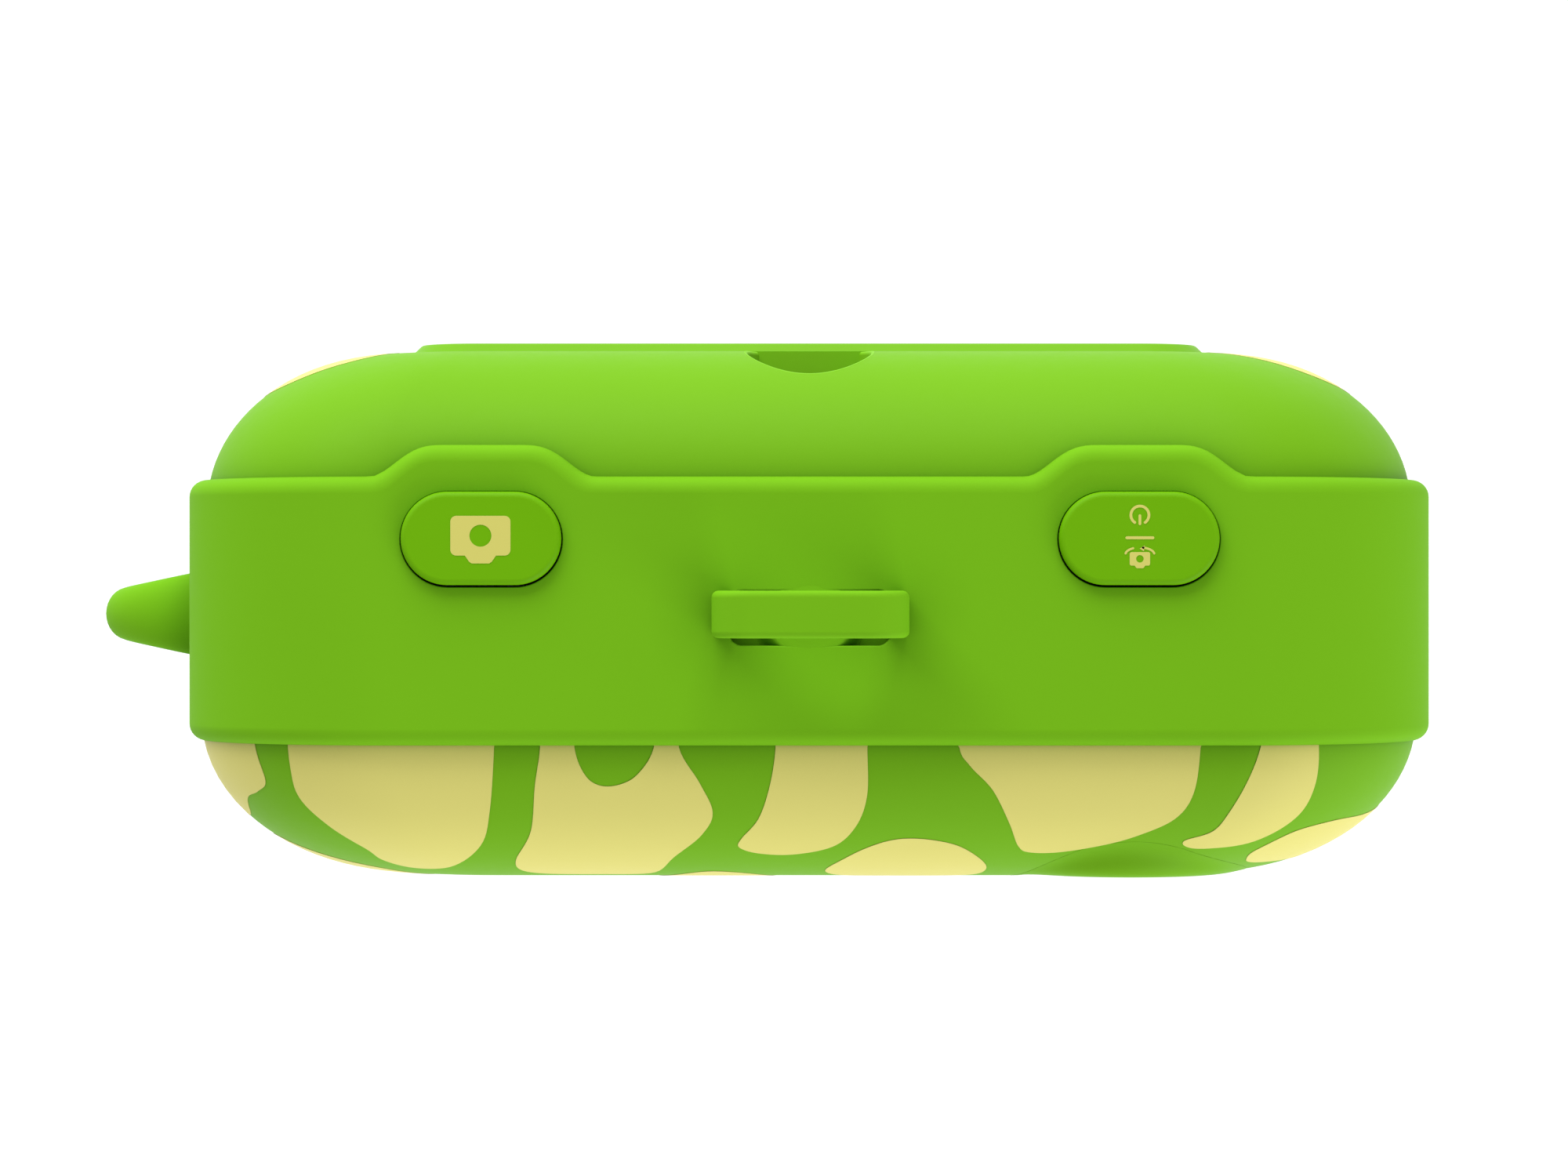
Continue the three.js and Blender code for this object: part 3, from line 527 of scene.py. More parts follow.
def middle_frame():
    band = hoop("frame_band", [band_section(s) for s in band_stations()])
    hole = stadium(BUTTON_LENGTH + 2 * BUTTON_GAP, BUTTON_WIDTH + 2 * BUTTON_GAP, 14)
    for side in (-1, 1):
        levels = [(0.0, BAND_TOP - 8)] + mouth(BAND_TOP, 0.08, 3)
        carve(band, hole, levels, put_z(side * BUTTON_X, BUTTON_Y - 0.08))
    pocket = rect(POCKET_LENGTH / 2, POCKET_WIDTH / 2, 1.1, 10)
    levels = [(0.0, BAND_TOP - POCKET_DEPTH)] + mouth(BAND_TOP, 0.15, 4)
    carve(band, pocket, levels, put_z(0, POCKET_Y))
    recess = rect(FLAP_HIGH.y - FLAP_Y + 0.15, FLAP_HIGH.z - FLAP_Z + 0.15, 2.35)
    depth = FLAP_LOW.x - 0.3
    carve(band, recess, [(0.0, depth)] + mouth(BAND_HALF_X, 0.25), put_x(FLAP_Y, FLAP_Z))
    for node, corner in (("usb_c_socket", 1.4), ("microsd_socket", 0.3)):
        low, high = box_mm(node)
        opening = rect((high.y - low.y) / 2 + 0.2, (high.z - low.z) / 2 + 0.2, corner)
        levels = [(0.0, BAND_HALF_X - 6)] + mouth(depth, 0.2)
        carve(band, opening, levels, put_x((low.y + high.y) / 2, (low.z + high.z) / 2))
    finish_piece(band, FRAME_GREEN, stands_for=["middle_frame"])


def pocket_boss():
    """A low round boss in the pocket under the strap loop: its side is an S-curve, its top is crowned."""
    crown, ledge, foot, crown_rise = 2.7, 3.4, 5.0, 0.24
    floor = BAND_TOP - POCKET_DEPTH
    profile = [(foot, floor - 0.5)]
    for k in range(9):
        t = k / 8
        rise = (POCKET_DEPTH - 0.04) * (1 - math.cos(math.pi * t)) / 2
        profile.append((foot + (ledge - foot) * t, floor + rise))
    profile.append((crown, BAND_TOP))
    for k in range(1, 7):
        r = crown * (1 - k / 6) + 0.03
        profile.append((r, BAND_TOP + crown_rise * (1 - (r / crown) ** 2)))
    boss = stack("pocket_boss", circle, profile, put_z(0, POCKET_Y + 0.1))
    finish_piece(boss, FRAME_GREEN)


middle_frame()
pocket_boss()


# ---------- Shells ----------
class Pillow:
    """One half of the case: a flat face that rolls over to the frame on a quarter ellipse.
    flat and rim are (half x, half z, corner radius) of the flat face and of the ellipse's far end."""

    def __init__(self, side, face, roll, flat, rim):
        self.side, self.face, self.roll, self.flat, self.rim = side, face, roll, flat, rim
        self.runs = [(0.0, 0.0)]
        self.steps = 60
        for i in range(self.steps):
            a, b = (math.pi / 2 * (i + k) / self.steps for k in (0, 1))
            out, down = math.sin(b) - math.sin(a), roll * (math.cos(a) - math.cos(b))
            far_x, far_z = self.runs[-1]
            step_x = math.hypot((rim[0] - flat[0]) * out, down)
            step_z = math.hypot((rim[1] - flat[1]) * out, down)
            self.runs.append((far_x + step_x, far_z + step_z))

    def ring(self, angle):
        out = math.sin(angle)
        return [f + (r - f) * out for f, r in zip(self.flat, self.rim)]

    def depth(self, angle):
        return self.side * (self.face - self.roll * (1 - math.cos(angle)))

    def run(self, angle):
        """Distance walked over the shoulder, along x and along z."""
        at = min(angle / (math.pi / 2) * self.steps, self.steps - 1e-6)
        (x0, z0), (x1, z1) = self.runs[int(at)], self.runs[int(at) + 1]
        t = at - int(at)
        return x0 + (x1 - x0) * t, z0 + (z1 - z0) * t

    def angle_where(self, outside):
        """The angle at which outside(angle) stops being positive, or None on the flat face."""
        if outside(0.0) <= 0:
            return None
        low, high = 0.0, math.pi / 2
        for _ in range(34):
            middle = (low + high) / 2
            low, high = (middle, high) if outside(middle) > 0 else (low, middle)
        return low

    def height(self, x, z):
        """The shell's y at (x, z), seen along Y."""
        x, z = abs(x), abs(z - MID_Z)

        def outside(angle):
            half_x, half_z, r = self.ring(angle)
            if x <= half_x - r:
                return z - half_z
            if z <= half_z - r:
                return x - half_x
            return math.hypot(x - half_x + r, z - half_z + r) - r
        angle = self.angle_where(outside)
        return self.side * self.face if angle is None else self.depth(angle)

    def unrolled(self, u, w):
        """The surface point at (u, w) of the shell rolled out flat from the middle of its face."""
        far_u, far_w = abs(u), abs(w)

        def corner(angle):
            half_x, half_z, r = self.ring(angle)
            run_x, run_z = self.run(angle)
            c_x, c_z = half_x - r, half_z - r
            return half_x, half_z, r, c_x, c_z, self.flat[0] + run_x - c_x, self.flat[1] + run_z - c_z

        def outside(angle):
            _, _, _, c_x, c_z, reach_x, reach_z = corner(angle)
            if far_u <= c_x:
                return far_w - c_z - reach_z
            if far_w <= c_z:
                return far_u - c_x - reach_x
            return math.hypot((far_u - c_x) / reach_x, (far_w - c_z) / reach_z) - 1
        angle = self.angle_where(outside)
        if angle is None:
            return Vector((u, self.side * self.face, MID_Z + w))
        half_x, half_z, r, c_x, c_z, reach_x, reach_z = corner(angle)
        x, z = min(far_u, half_x), min(far_w, half_z)
        if far_u <= c_x:
            z = half_z
        elif far_w <= c_z:
            x = half_x
        else:
            turn = math.atan2((far_w - c_z) / reach_z, (far_u - c_x) / reach_x)
            x, z = c_x + r * math.cos(turn), c_z + r * math.sin(turn)
        return Vector((math.copysign(x, u), self.depth(angle), MID_Z + math.copysign(z, w)))

    def lifted(self, u, w, height):
        """A point at the given height over the unrolled surface."""
        step = 0.05
        along_u = self.unrolled(u + step, w) - self.unrolled(u - step, w)
        along_w = self.unrolled(u, w + step) - self.unrolled(u, w - step)
        normal = along_w.cross(along_u).normalized() * -self.side
        if normal.dot(Vector((0, self.side, 0))) < 0:
            normal = -normal
        return self.unrolled(u, w) + normal * height

    def rings(self, inset, edge):
        """Rings of the surface, shrunk by inset, from the frame's edge to the flat face."""
        roll = self.roll - inset
        start = math.acos((edge - self.face + self.roll) / roll)
        made = []
        for angle in (start * (1 - i / 22) for i in range(23)):
            out = math.sin(angle)
            half_x, half_z, r = (f + (m - inset - f) * out for f, m in zip(self.flat, self.rim))
            y = self.side * (self.face - self.roll + roll * math.cos(angle))
            ring = rounded_rect(half_x, half_z, r, 18, runs=(16, 10))
            made.append([(a, y, MID_Z + b) for a, b in ring])
        return made


FRONT = Pillow(-1, -box_mm("front_shell")[0].y, 14.3, (36.2, 21.5, 9.0), (54.9, 36.3, 17.4))
REAR = Pillow(1, box_mm("rear_shell")[1].y, 13.95, (37.8, 22.0, 9.0), (54.4, 36.3, 17.2))


def shell(name, pillow):
    edge = BAND_EDGE - 0.1
    inner = pillow.rings(SHELL_WALL, edge)
    outer = pillow.rings(0.0, edge)
    return loft(name, inner[::-1] + outer)


LENS_LOW, LENS_HIGH = box_mm("lens_ring")
LENS_X, LENS_Z = middle(LENS_LOW, LENS_HIGH)
LENS_R = (LENS_HIGH.x - LENS_LOW.x) / 2
FLASH_LOW, FLASH_HIGH = box_mm("flash_window")
FLASH_X, FLASH_Z = middle(FLASH_LOW, FLASH_HIGH)
FLASH_R = (FLASH_HIGH.x - FLASH_LOW.x) / 2
SPEAKER_X, SPEAKER_Z = middle(*box_mm("speaker"))
SPEAKER_SPREAD = 4.6
SPEAKER_HOLE = 0.9
MIC_HOLE = 0.6
SELFIE_LOW, SELFIE_HIGH = box_mm("selfie_lens_ring")
SELFIE_Z = middle(SELFIE_LOW, SELFIE_HIGH)[1]
WELL_Z = SELFIE_Z - 1.1
WELL_R = 5.5
SCREW_SPOTS = [middle(*box_mm(node)) for node in ("shell_screw_left", "shell_screw_right")]


def front_casing():
    casing = shell("front_casing", FRONT)
    face, back = -FRONT.face, -FRONT.face + 6
    drill_y(casing, LENS_R + 0.1, LENS_X, LENS_Z, face - 2, back, 96)

    def flared(fillet, steps):
        """Levels of a hole whose mouth flares out to the face."""
        return [(0.0, back)] + [(grow, 2 * face - height) for grow, height in mouth(face, fillet, steps)]
    carve(casing, disc(FLASH_R + 0.08), flared(0.25, 6), put_y(FLASH_X, FLASH_Z))
    holes = [(*middle(*box_mm("microphone")), MIC_HOLE), (SPEAKER_X, SPEAKER_Z, SPEAKER_HOLE)]
    for a, b in [(SPEAKER_SPREAD * math.cos(t), SPEAKER_SPREAD * math.sin(t)) for t in turns(6)]:
        holes.append((SPEAKER_X + a, SPEAKER_Z + b, SPEAKER_HOLE))
    for x, z, r in holes:
        carve(casing, disc(r, 20), flared(0.2, 4), put_y(x, z))
    finish_piece(casing, SHELL_GREEN, stands_for=["front_shell"])


KEY_X = middle(*box_mm("key_ok"))[0]
KEY_TOP = box_mm("key_ok")[1].y
KEY_GAP = 0.12
KEY_RING = 6.0
KEY_LENGTH, KEY_WIDTH, KEY_ROUND = 5.4, 3.2, 2.7
KEYS = {
    "key_up": (0, 1), "key_down": (0, -1), "key_left": (1, 0), "key_right": (-1, 0), "key_ok": (0, 0),
}
PLATE_LOW, PLATE_HIGH = box_mm("screen_bezel")
WINDOW_LOW, WINDOW_HIGH = box_mm("screen_window")
WINDOW_X = middle(WINDOW_LOW, WINDOW_HIGH)[0]
WINDOW_HALF_X = (WINDOW_HIGH.x - WINDOW_LOW.x) / 2
WINDOW_HALF_Z = (WINDOW_HIGH.z - WINDOW_LOW.z) / 2


def key_outline(name):
    if name == "key_ok":
        return disc(KEY_ROUND, 40)
    level = stadium(KEY_LENGTH, KEY_WIDTH)
    if name in ("key_up", "key_down"):
        return level
    return lambda grow: [(-b, a) for a, b in level(grow)]


def key_place(name):
    across, up = KEYS[name]
    return put_y(KEY_X + across * KEY_RING, MID_Z + up * KEY_RING)


def rear_casing():
    casing = shell("rear_casing", REAR)
    face = REAR.face
    window = rect(WINDOW_HALF_X - 1, WINDOW_HALF_Z - 1, 1.5)
    carve(casing, window, [(0.0, face - 5), (0.0, face + 3)], put_y(WINDOW_X, MID_Z))
    drill_y(casing, WELL_R + 0.3, 0, WELL_Z, face - 8, face + 3, 72)
    for x, z in SCREW_SPOTS:
        drill_y(casing, 2.95, x, z, face - 8, face + 3, 32)
    for name in KEYS:
        carve(casing, key_outline(name), [(KEY_GAP, face - 5), (KEY_GAP, face + 3)], key_place(name))
    finish_piece(casing, SHELL_GREEN, stands_for=["rear_shell"])


front_casing()
rear_casing()


def round_well(name, pillow, x, z, r, fillet, floor, hole, material):
    """A round well sunk in a shell: it leaves the surface on a fillet, and has a floor with a hole."""
    side = pillow.side
    around = turns(72)
    flange, lip, thick = 1.1, 0.012, 1.2

    def spot(turn, radius, y):
        return (x + radius * math.cos(turn), y, z + radius * math.sin(turn))

    def surface(turn, radius):
        return pillow.height(x + radius * math.cos(turn), z + radius * math.sin(turn))
    rings = [
        [spot(t, r + flange, surface(t, r + fillet) - side * 1.6) for t in around],
        [spot(t, r + fillet, surface(t, r + fillet) + side * lip) for t in around],
    ]
    for k in range(1, 8):
        s = k / 7
        ring = []
        for t in around:
            start, corner = surface(t, r + fillet) + side * lip, surface(t, r)
            bend = ((r + fillet, start), (r, corner), (r, corner - side * fillet))
            ring.append(spot(t, *bezier(bend, s)))
        rings.append(ring)
    rings.append([spot(t, r, floor + side * 0.3) for t in around])
    rings.append([spot(t, r - 0.3, floor) for t in around])
    rings.append([spot(t, hole, floor) for t in around])
    rings.append([spot(t, hole, floor - side * thick) for t in around])
    rings.append([spot(t, r + flange, floor - side * thick) for t in around])
    finish_piece(hoop_across(name, rings), material)


SELFIE_FLOOR = SELFIE_LOW.y - 0.05
round_well("selfie_well", REAR, 0, WELL_Z, WELL_R, 0.35, SELFIE_FLOOR, 2.0, WELL_GREEN_BRIGHTENED)


def well_shelf():
    """Fills the well below the screen plate's top edge, so that the well ends in a level shelf."""
    top = PLATE_HIGH.z + 0.08 - WELL_Z
    r = WELL_R + 0.1
    end = math.degrees(math.asin(top / r))
    outline = [(r * math.cos(t), r * math.sin(t)) for t in arc(180 - end, 360 + end, 30)]
    levels = [SELFIE_FLOOR - 0.3, REAR.face - 0.02]
    shelf = loft("well_shelf", [[(a, y, WELL_Z + b) for a, b in outline] for y in levels])
    finish_piece(shelf, WELL_GREEN_BRIGHTENED)


well_shelf()
for number, (screw_x, screw_z) in enumerate(SCREW_SPOTS, 1):
    round_well(f"screw_well_{number}", REAR, screw_x, screw_z, 2.85, 0.3, 16.0, 1.5, SHELL_GREEN)


# ---------- Front lens ----------
def lens_surround():
    """The raised ring round the lens: it grows out of the shell on a hollow curve and rolls over its rim."""
    front = LENS_LOW.y
    roll, bore, rim_r, rim_round = 1.75, 7.45, 8.35, 0.45
    sections = []
    for turn in turns(96):
        c, s = math.cos(turn), math.sin(turn)
        base = FRONT.height(LENS_X + LENS_R * c, LENS_Z + LENS_R * s)
        rise = base - front
        skirt = min(1.5, 0.6 + 0.5 * max(rise, 0.0))
        lean = max(0.6 - 0.25 * rise, 0.0)
        start = FRONT.height(LENS_X + (LENS_R + skirt) * c, LENS_Z + (LENS_R + skirt) * s) - 0.012
        bend = (
            (LENS_R + skirt, start), (LENS_R + lean, base), (LENS_R, base - 0.42 * rise),
            (LENS_R - lean, front), (LENS_R - roll, front),
        )
        section = [(LENS_R - 1, base + 3), (LENS_R + 0.4, start + 1.5)]
        section += [bezier(bend, k / 18) for k in range(19)]
        section.append((rim_r, front))
        for t in arc(15, 90, 5):
            section.append((rim_r - rim_round * math.sin(t), front + rim_round * (1 - math.cos(t))))
        section += [(bore, front + 1.6), (bore, base + 3)]
        sections.append([(LENS_X + r * c, y, LENS_Z + r * s) for r, y in section])
    finish_piece(hoop("lens_surround", sections), SHELL_GREEN, stands_for=["lens_ring"])


def turned(name, profile, x, z, material, stands_for, steps=64, sharp=32):
    """A solid of revolution about Y. The (radius, y) profile starts and ends on the axis."""
    rings = [ring_y(x, z, r, y, steps) for r, y in profile[1:-1]]
    finish_piece(loft(name, rings), material, stands_for=stands_for, sharp=sharp)


def turned_ring(name, section, x, z, material, stands_for):
    """A ring about Y with a closed (radius, y) section."""
    rings = [ring_y(x, z, r, y) for r, y in section]
    finish_piece(hoop_across(name, rings), material, stands_for=stands_for)


def front_lens():
    """The cover glass, the stepped baffle behind it and the domed front element."""
    low, high = box_mm("lens_cover")
    r = (high.x - low.x) / 2
    edge = 0.15
    profile = [(0, low.y), (r - edge, low.y), (r, low.y + edge), (r, high.y), (0, high.y)]
    turned("lens_glass", profile, LENS_X, LENS_Z, GLASS, ["lens_cover"])
    low, high = box_mm("lens_barrel")
    front = low.y
    outer, throat = 6.6, 3.45
    section = [(outer, front), (6.3, front), (6.0, front + 0.5)]
    for k in range(6):
        r, y = 5.9 - 0.42 * k, front + 0.5 + 0.3 * k
        section += [(r, y), (r - 0.12, y + 0.3)]
    section += [(throat, front + 4.0), (throat, high.y), (outer, high.y)]
    turned_ring("lens_baffle", section, LENS_X, LENS_Z, BLACK, ["lens_barrel"])
    low, high = box_mm("lens_element")
    r = (high.x - low.x) / 2
    dome = 0.9
    profile = [(0, high.y), (r, high.y), (r, low.y + dome)]
    profile += [(r * math.cos(t), low.y + dome - dome * math.sin(t)) for t in arc(8, 88, 10)]
    profile.append((0, low.y))
    turned("lens_front_element", profile, LENS_X, LENS_Z, COATED, ["lens_element"])


def selfie_lens():
    outer = (SELFIE_HIGH.x - SELFIE_LOW.x) / 2
    inner = outer - 1.3
    low, top, edge = SELFIE_LOW.y, SELFIE_HIGH.y, 0.5
    section = [(outer, low), (outer, top - edge)]
    section += [(outer - edge * (1 - math.cos(t)), top - edge + edge * math.sin(t)) for t in arc(15, 90, 5)]
    section += [(inner + 0.7, top), (inner, top - 0.8), (inner, low)]
    turned_ring("selfie_surround", section, 0, SELFIE_Z, BLACK, ["selfie_lens_ring"])
    low, high = box_mm("selfie_lens_cover")
    r = (high.x - low.x) / 2
    dome = 0.3
    profile = [(0, low.y), (r, low.y), (r, high.y - dome)]
    profile += [(r * math.cos(t), high.y - dome + dome * math.sin(t)) for t in arc(12, 88, 8)]
    profile.append((0, high.y))
    turned("selfie_glass", profile, 0, SELFIE_Z, COATED, ["selfie_lens_cover"])


def flash_lens():
    """A frosted lamp window with turned rings on its front."""
    front, edge = FLASH_LOW.y, 0.2
    profile = [(0, FLASH_HIGH.y), (FLASH_R, FLASH_HIGH.y), (FLASH_R, front + edge), (FLASH_R - edge, front)]
    for k in range(6):
        r = FLASH_R - 0.35 - 0.42 * k
        profile += [(r, front), (r - 0.1, front + 0.12), (r - 0.3, front)]
    profile.append((0, front))
    turned("flash_lens", profile, FLASH_X, FLASH_Z, WHITE, ["flash_window"], steps=48, sharp=20)


lens_surround()
front_lens()
selfie_lens()
flash_lens()


# ---------- Printed patches ----------
# Outlines on the unrolled shells, as (across, up) from the middle of the face.
FRONT_PATCHES = [
    [(-55, 39), (-52, 36), (-50, 33.5), (-50.7, 31), (-51.8, 28), (-51.5, 23), (-53, 17), (-57, 13),
     (-61, 18), (-62, 28), (-59, 37)],
    [(-48.8, 42), (-47.3, 37), (-46, 34.3), (-43, 32), (-39.5, 29.5), (-38, 27.3), (-35.3, 26), (-32, 27.2),
     (-29, 31.5), (-28, 36), (-27.5, 42), (-27.5, 46), (-38, 47), (-47, 46)],
    [(-23.5, 42), (-24, 38.5), (-24.5, 33.5), (-26, 29), (-25.6, 26.2), (-23.3, 24.7), (-19, 24.4),
     (-14.2, 25), (-12, 29.5), (-9.5, 33), (-8.5, 35.7), (-9.6, 38.7), (-11.4, 42), (-11.5, 46),
     (-13.4, 46), (-13.6, 42), (-15, 39.6), (-16.6, 38.6), (-18.3, 38.5), (-19.6, 39.5), (-20.5, 42),
     (-20.5, 46), (-23.5, 46)],
    [(-3, 42), (-3.5, 38.5), (-4.5, 35), (-6, 32.5), (-6.2, 31.2), (-4.5, 30.2), (-1.5, 30), (2, 31.3),
     (4, 34), (5, 37.5), (5, 42), (5, 46), (-3, 46)],
    [(1.4, 26), (3.5, 29.7), (6.5, 32), (9.5, 32.5), (13, 31.5), (15.2, 29), (15.7, 26.5), (14.3, 24),
     (10, 22.6), (4, 23)],
    [(-12, 23.8), (-8.5, 25.8), (-4, 23.6), (-2.6, 18), (-5, 12), (-10, 11), (-13.6, 15), (-14, 20)],
    [(13, 42), (14, 40.3), (16, 38), (17.5, 34.5), (18.4, 31.4), (19.4, 30.4), (22, 30.4), (26, 31.6),
     (29, 33), (32, 35), (33.5, 37.7), (34, 42), (34, 46), (12.8, 46)],
    [(40, 42.5), (39, 40), (37, 36), (35.5, 33.5), (33, 32.2), (33.4, 31.2), (35.5, 30.9), (39.5, 31),
     (43.5, 33), (45.5, 36), (46.6, 40), (47, 44), (41, 46)],
    [(39, 27), (39.8, 29), (43.5, 30.6), (47.5, 29), (50.5, 25.5), (53, 20.5), (53.5, 15), (50, 13), (46, 17),
     (42, 22.5), (39.6, 25.2)],
    [(-49, 20), (-46.5, 22), (-42, 23.2), (-37.5, 23), (-34, 20), (-33, 15), (-37, 10), (-44, 9), (-49, 13)],
]
# Softly uneven ovals where nothing else is set: (across, up, half width, half height, turn)
FRONT_BLOBS = [
    (-24, 3, 6.5, 9, 0.4), (-47, -8, 7, 8, 2.1), (-5, -9, 8, 6.5, 1.2), (10, 7, 6, 5, 3.0),
    (50, -4, 5.5, 9, 0.9),
    (-31, -19, 8, 5.5, 5.0), (-10, -27, 6, 4.5, 4.1), (12, -24, 5, 6.5, 0.3), (42, -25, 7, 5.5, 2.6),
    (-45, -31, 6, 6, 1.7), (-24, -38, 7, 5, 0.2), (2, -39, 8, 4, 3.3), (26, -37, 7, 5, 2.2),
]
REAR_BLOBS = [
    (-44.5, 15, 6.5, 9.5, 0.5), (43.5, 14.5, 7.5, 9.5, 2.4), (-49, -8, 6, 7, 1.5), (50, -9, 5.5, 8, 3.7),
    (-42, -29, 6, 5, 0.8), (-22, -33, 7.5, 4.5, 2.0), (3, -30, 7, 3.5, 4.4), (24, -35, 7, 5, 5.2),
    (45, -30, 6, 6, 1.0), (-8, -40, 6, 3, 3.1),
]


def blob(u, w, half_u, half_w, turn):
    points = []
    for t in turns(36):
        swell = 1 + 0.13 * math.sin(2 * t + turn) + 0.09 * math.sin(3 * t + 2 * turn)
        points.append((u + half_u * swell * math.cos(t), w + half_w * swell * math.sin(t)))
    return points


def patches(name, pillow, outlines):
    proud, sunk = 0.035, -0.15
    parts = [inlay([outline], pillow.lifted, proud, sunk, spacing=1.3) for outline in outlines]
    points, faces = merge(parts)
    finish_piece(make_object(name, points, faces), PATCH_YELLOW, sharp=50, weighted=False)


patches("front_patches", FRONT, [smooth_loop(p) for p in FRONT_PATCHES] + [blob(*b) for b in FRONT_BLOBS])
patches("rear_patches", REAR, [blob(*b) for b in REAR_BLOBS])


# ---------- Strap loops ----------
def swept(name, path, section):
    """A solid swept along (position, outward, sideways) frames; section(i) gives (out, along) offsets."""
    rings = []
    for i, (where, out, side) in enumerate(path):
        rings.append([tuple(where + out * a + side * b) for a, b in section(i)])
    return loft(name, rings)


def straight(places, out):
    return [(Vector(p), Vector(out), SIDEWAYS) for p in places]


def bent(x, y, z, r, start, end, steps):
    """Frames round a bend in the XZ plane, from start to end degrees."""
    outs = [Vector((math.cos(t), 0, math.sin(t))) for t in arc(start, end, steps)]
    return [(Vector((x, y, z)) + out * r, out, SIDEWAYS) for out in outs]


def top_loop():
    """A flat strip bent over twice, with softly rounded edges; its feet stand in the frame."""
    half = (LOOP_HIGH.x - LOOP_LOW.x) / 2
    depth = (LOOP_HIGH.y - LOOP_LOW.y) / 2
    leg, bar, corner = 1.9, 2.2, 3.4
    bend_x, bend_z = half - corner, LOOP_HIGH.z - corner
    foot, knee = LOOP_LOW.z, (LOOP_LOW.z + bend_z) / 2
    path = straight([(half, LOOP_Y, foot), (half, LOOP_Y, knee)], (1, 0, 0))
    path += bent(bend_x, LOOP_Y, bend_z, corner, 0, 90, 16)
    path += bent(-bend_x, LOOP_Y, bend_z, corner, 90, 180, 16)
    path += straight([(-half, LOOP_Y, knee), (-half, LOOP_Y, foot)], (-1, 0, 0))

    def section(i):
        thick = leg + (bar - leg) * path[i][1].z
        return [(a - thick / 2, b) for a, b in rounded_rect(thick / 2, depth, 0.6, 6)]
    loop = swept("strap_arch", path, section)
    finish_piece(loop, FRAME_GREEN, stands_for=["top_strap_loop"])


SIDE_LOW, SIDE_HIGH = box_mm("side_strap_loop")
SIDE_Y = (SIDE_LOW.y + SIDE_HIGH.y) / 2


def side_loop():
    """A round, tapering bar bent into a loop on the frame's side."""
    root, tip = -BAND_HALF_X, SIDE_LOW.x + 0.28
    root_half, tip_half = 4.06, 2.43
    bar, corner, sunk = 4.1, 8.6, 1.6
    half_z = (SIDE_HIGH.z - SIDE_LOW.z) / 2
    top, bottom = MID_Z + half_z, MID_Z - half_z
    stops = (root + sunk, root, (root + tip + corner) / 2)
    path = straight([(x, SIDE_Y, top) for x in stops], (0, 0, 1))
    path += bent(tip + corner, SIDE_Y, top - corner, corner, 90, 180, 18)
    path += bent(tip + corner, SIDE_Y, bottom + corner, corner, 180, 270, 18)
    path += straight([(x, SIDE_Y, bottom) for x in reversed(stops)], (0, 0, -1))

    def half_depth(x):
        t = min(max((root - x) / (root - tip - bar / 2), 0.0), 1.0)
        return root_half + (tip_half - root_half) * t

    def section(i):
        where, out, _ = path[i]
        thick = bar / 2
        deep = half_depth(where.x - out.x * thick)
        return [(thick * (math.cos(t) - 1), deep * math.sin(t)) for t in turns(32)]
    loop = swept("wrist_loop", path, section)
    finish_piece(loop, FRAME_GREEN, stands_for=["side_strap_loop"])


top_loop()
side_loop()


# ---------- Top buttons and their symbols ----------
def top_cap(node, body, side):
    levels = [(0.0, BAND_TOP - 5)] + round_top(BUTTON_HIGH.z, 0.55, 8)
    outline = stadium(BUTTON_LENGTH, BUTTON_WIDTH, 18)
    cap = stack(f"{body}_cap", outline, levels, put_z(side * BUTTON_X, BUTTON_Y))
    finish_piece(cap, BUTTON_GREEN, body=body, stands_for=[node])


top_cap("shutter_button", "shutter", -1)
top_cap("power_button", "power", 1)


def stroke(points, half_width):
    """The outline of a constant-width stroke with round ends."""
    line = [Vector(p) for p in points]
    left, right = [], []
    for i, p in enumerate(line):
        ahead = line[min(i + 1, len(line) - 1)] - line[max(i - 1, 0)]
        normal = Vector((-ahead.y, ahead.x)).normalized() * half_width
        left.append(p + normal)
        right.append(p - normal)

    def cap(centre, start):
        first = math.atan2(start.y - centre.y, start.x - centre.x)
        ends = [Vector((math.cos(first - t), math.sin(first - t))) for t in arc(20, 160, 5)]
        return [centre + end * half_width for end in ends]
    ring = left + cap(line[-1], left[-1]) + right[::-1] + cap(line[0], right[0])
    return [(p.x, p.y) for p in ring]


def arc_points(x, y, r, start, end, steps):
    return [(x + r * math.cos(t), y + r * math.sin(t)) for t in arc(start, end, steps)]


def camera_symbol(x, y, scale):
    """A plain camera pictogram, body up and viewfinder hump down: the outline and its lens hole."""
    half, high, r, lens = 2.6, 1.72, 0.5, 0.95
    hump = [(-1.35, -1.72), (-0.97, -2.264), (-0.75, -2.4), (0.75, -2.4), (0.97, -2.264), (1.35, -1.72)]
    body = arc_points(half - r, high - r, r, 0, 90, 5)
    body += arc_points(r - half, high - r, r, 90, 180, 5)
    body += arc_points(r - half, r - high, r, 180, 270, 5)
    body += hump
    body += arc_points(half - r, r - high, r, 270, 360, 5)
    hole = arc_points(0, 0, lens, 0, 360, 36)[:-1]
    return [[(x + a * scale, y + b * scale) for a, b in outline] for outline in (body, hole)]


def print_piece(name, groups, place, top, body):
    """A symbol printed on a key or button; each group is an outline and the holes in it."""
    points, faces = merge([inlay(outlines, place, top + 0.03, top - 0.1) for outlines in groups])
    symbol = make_object(name, points, faces)
    finish_piece(symbol, ICON_YELLOW, body=body, sharp=20, weighted=False)


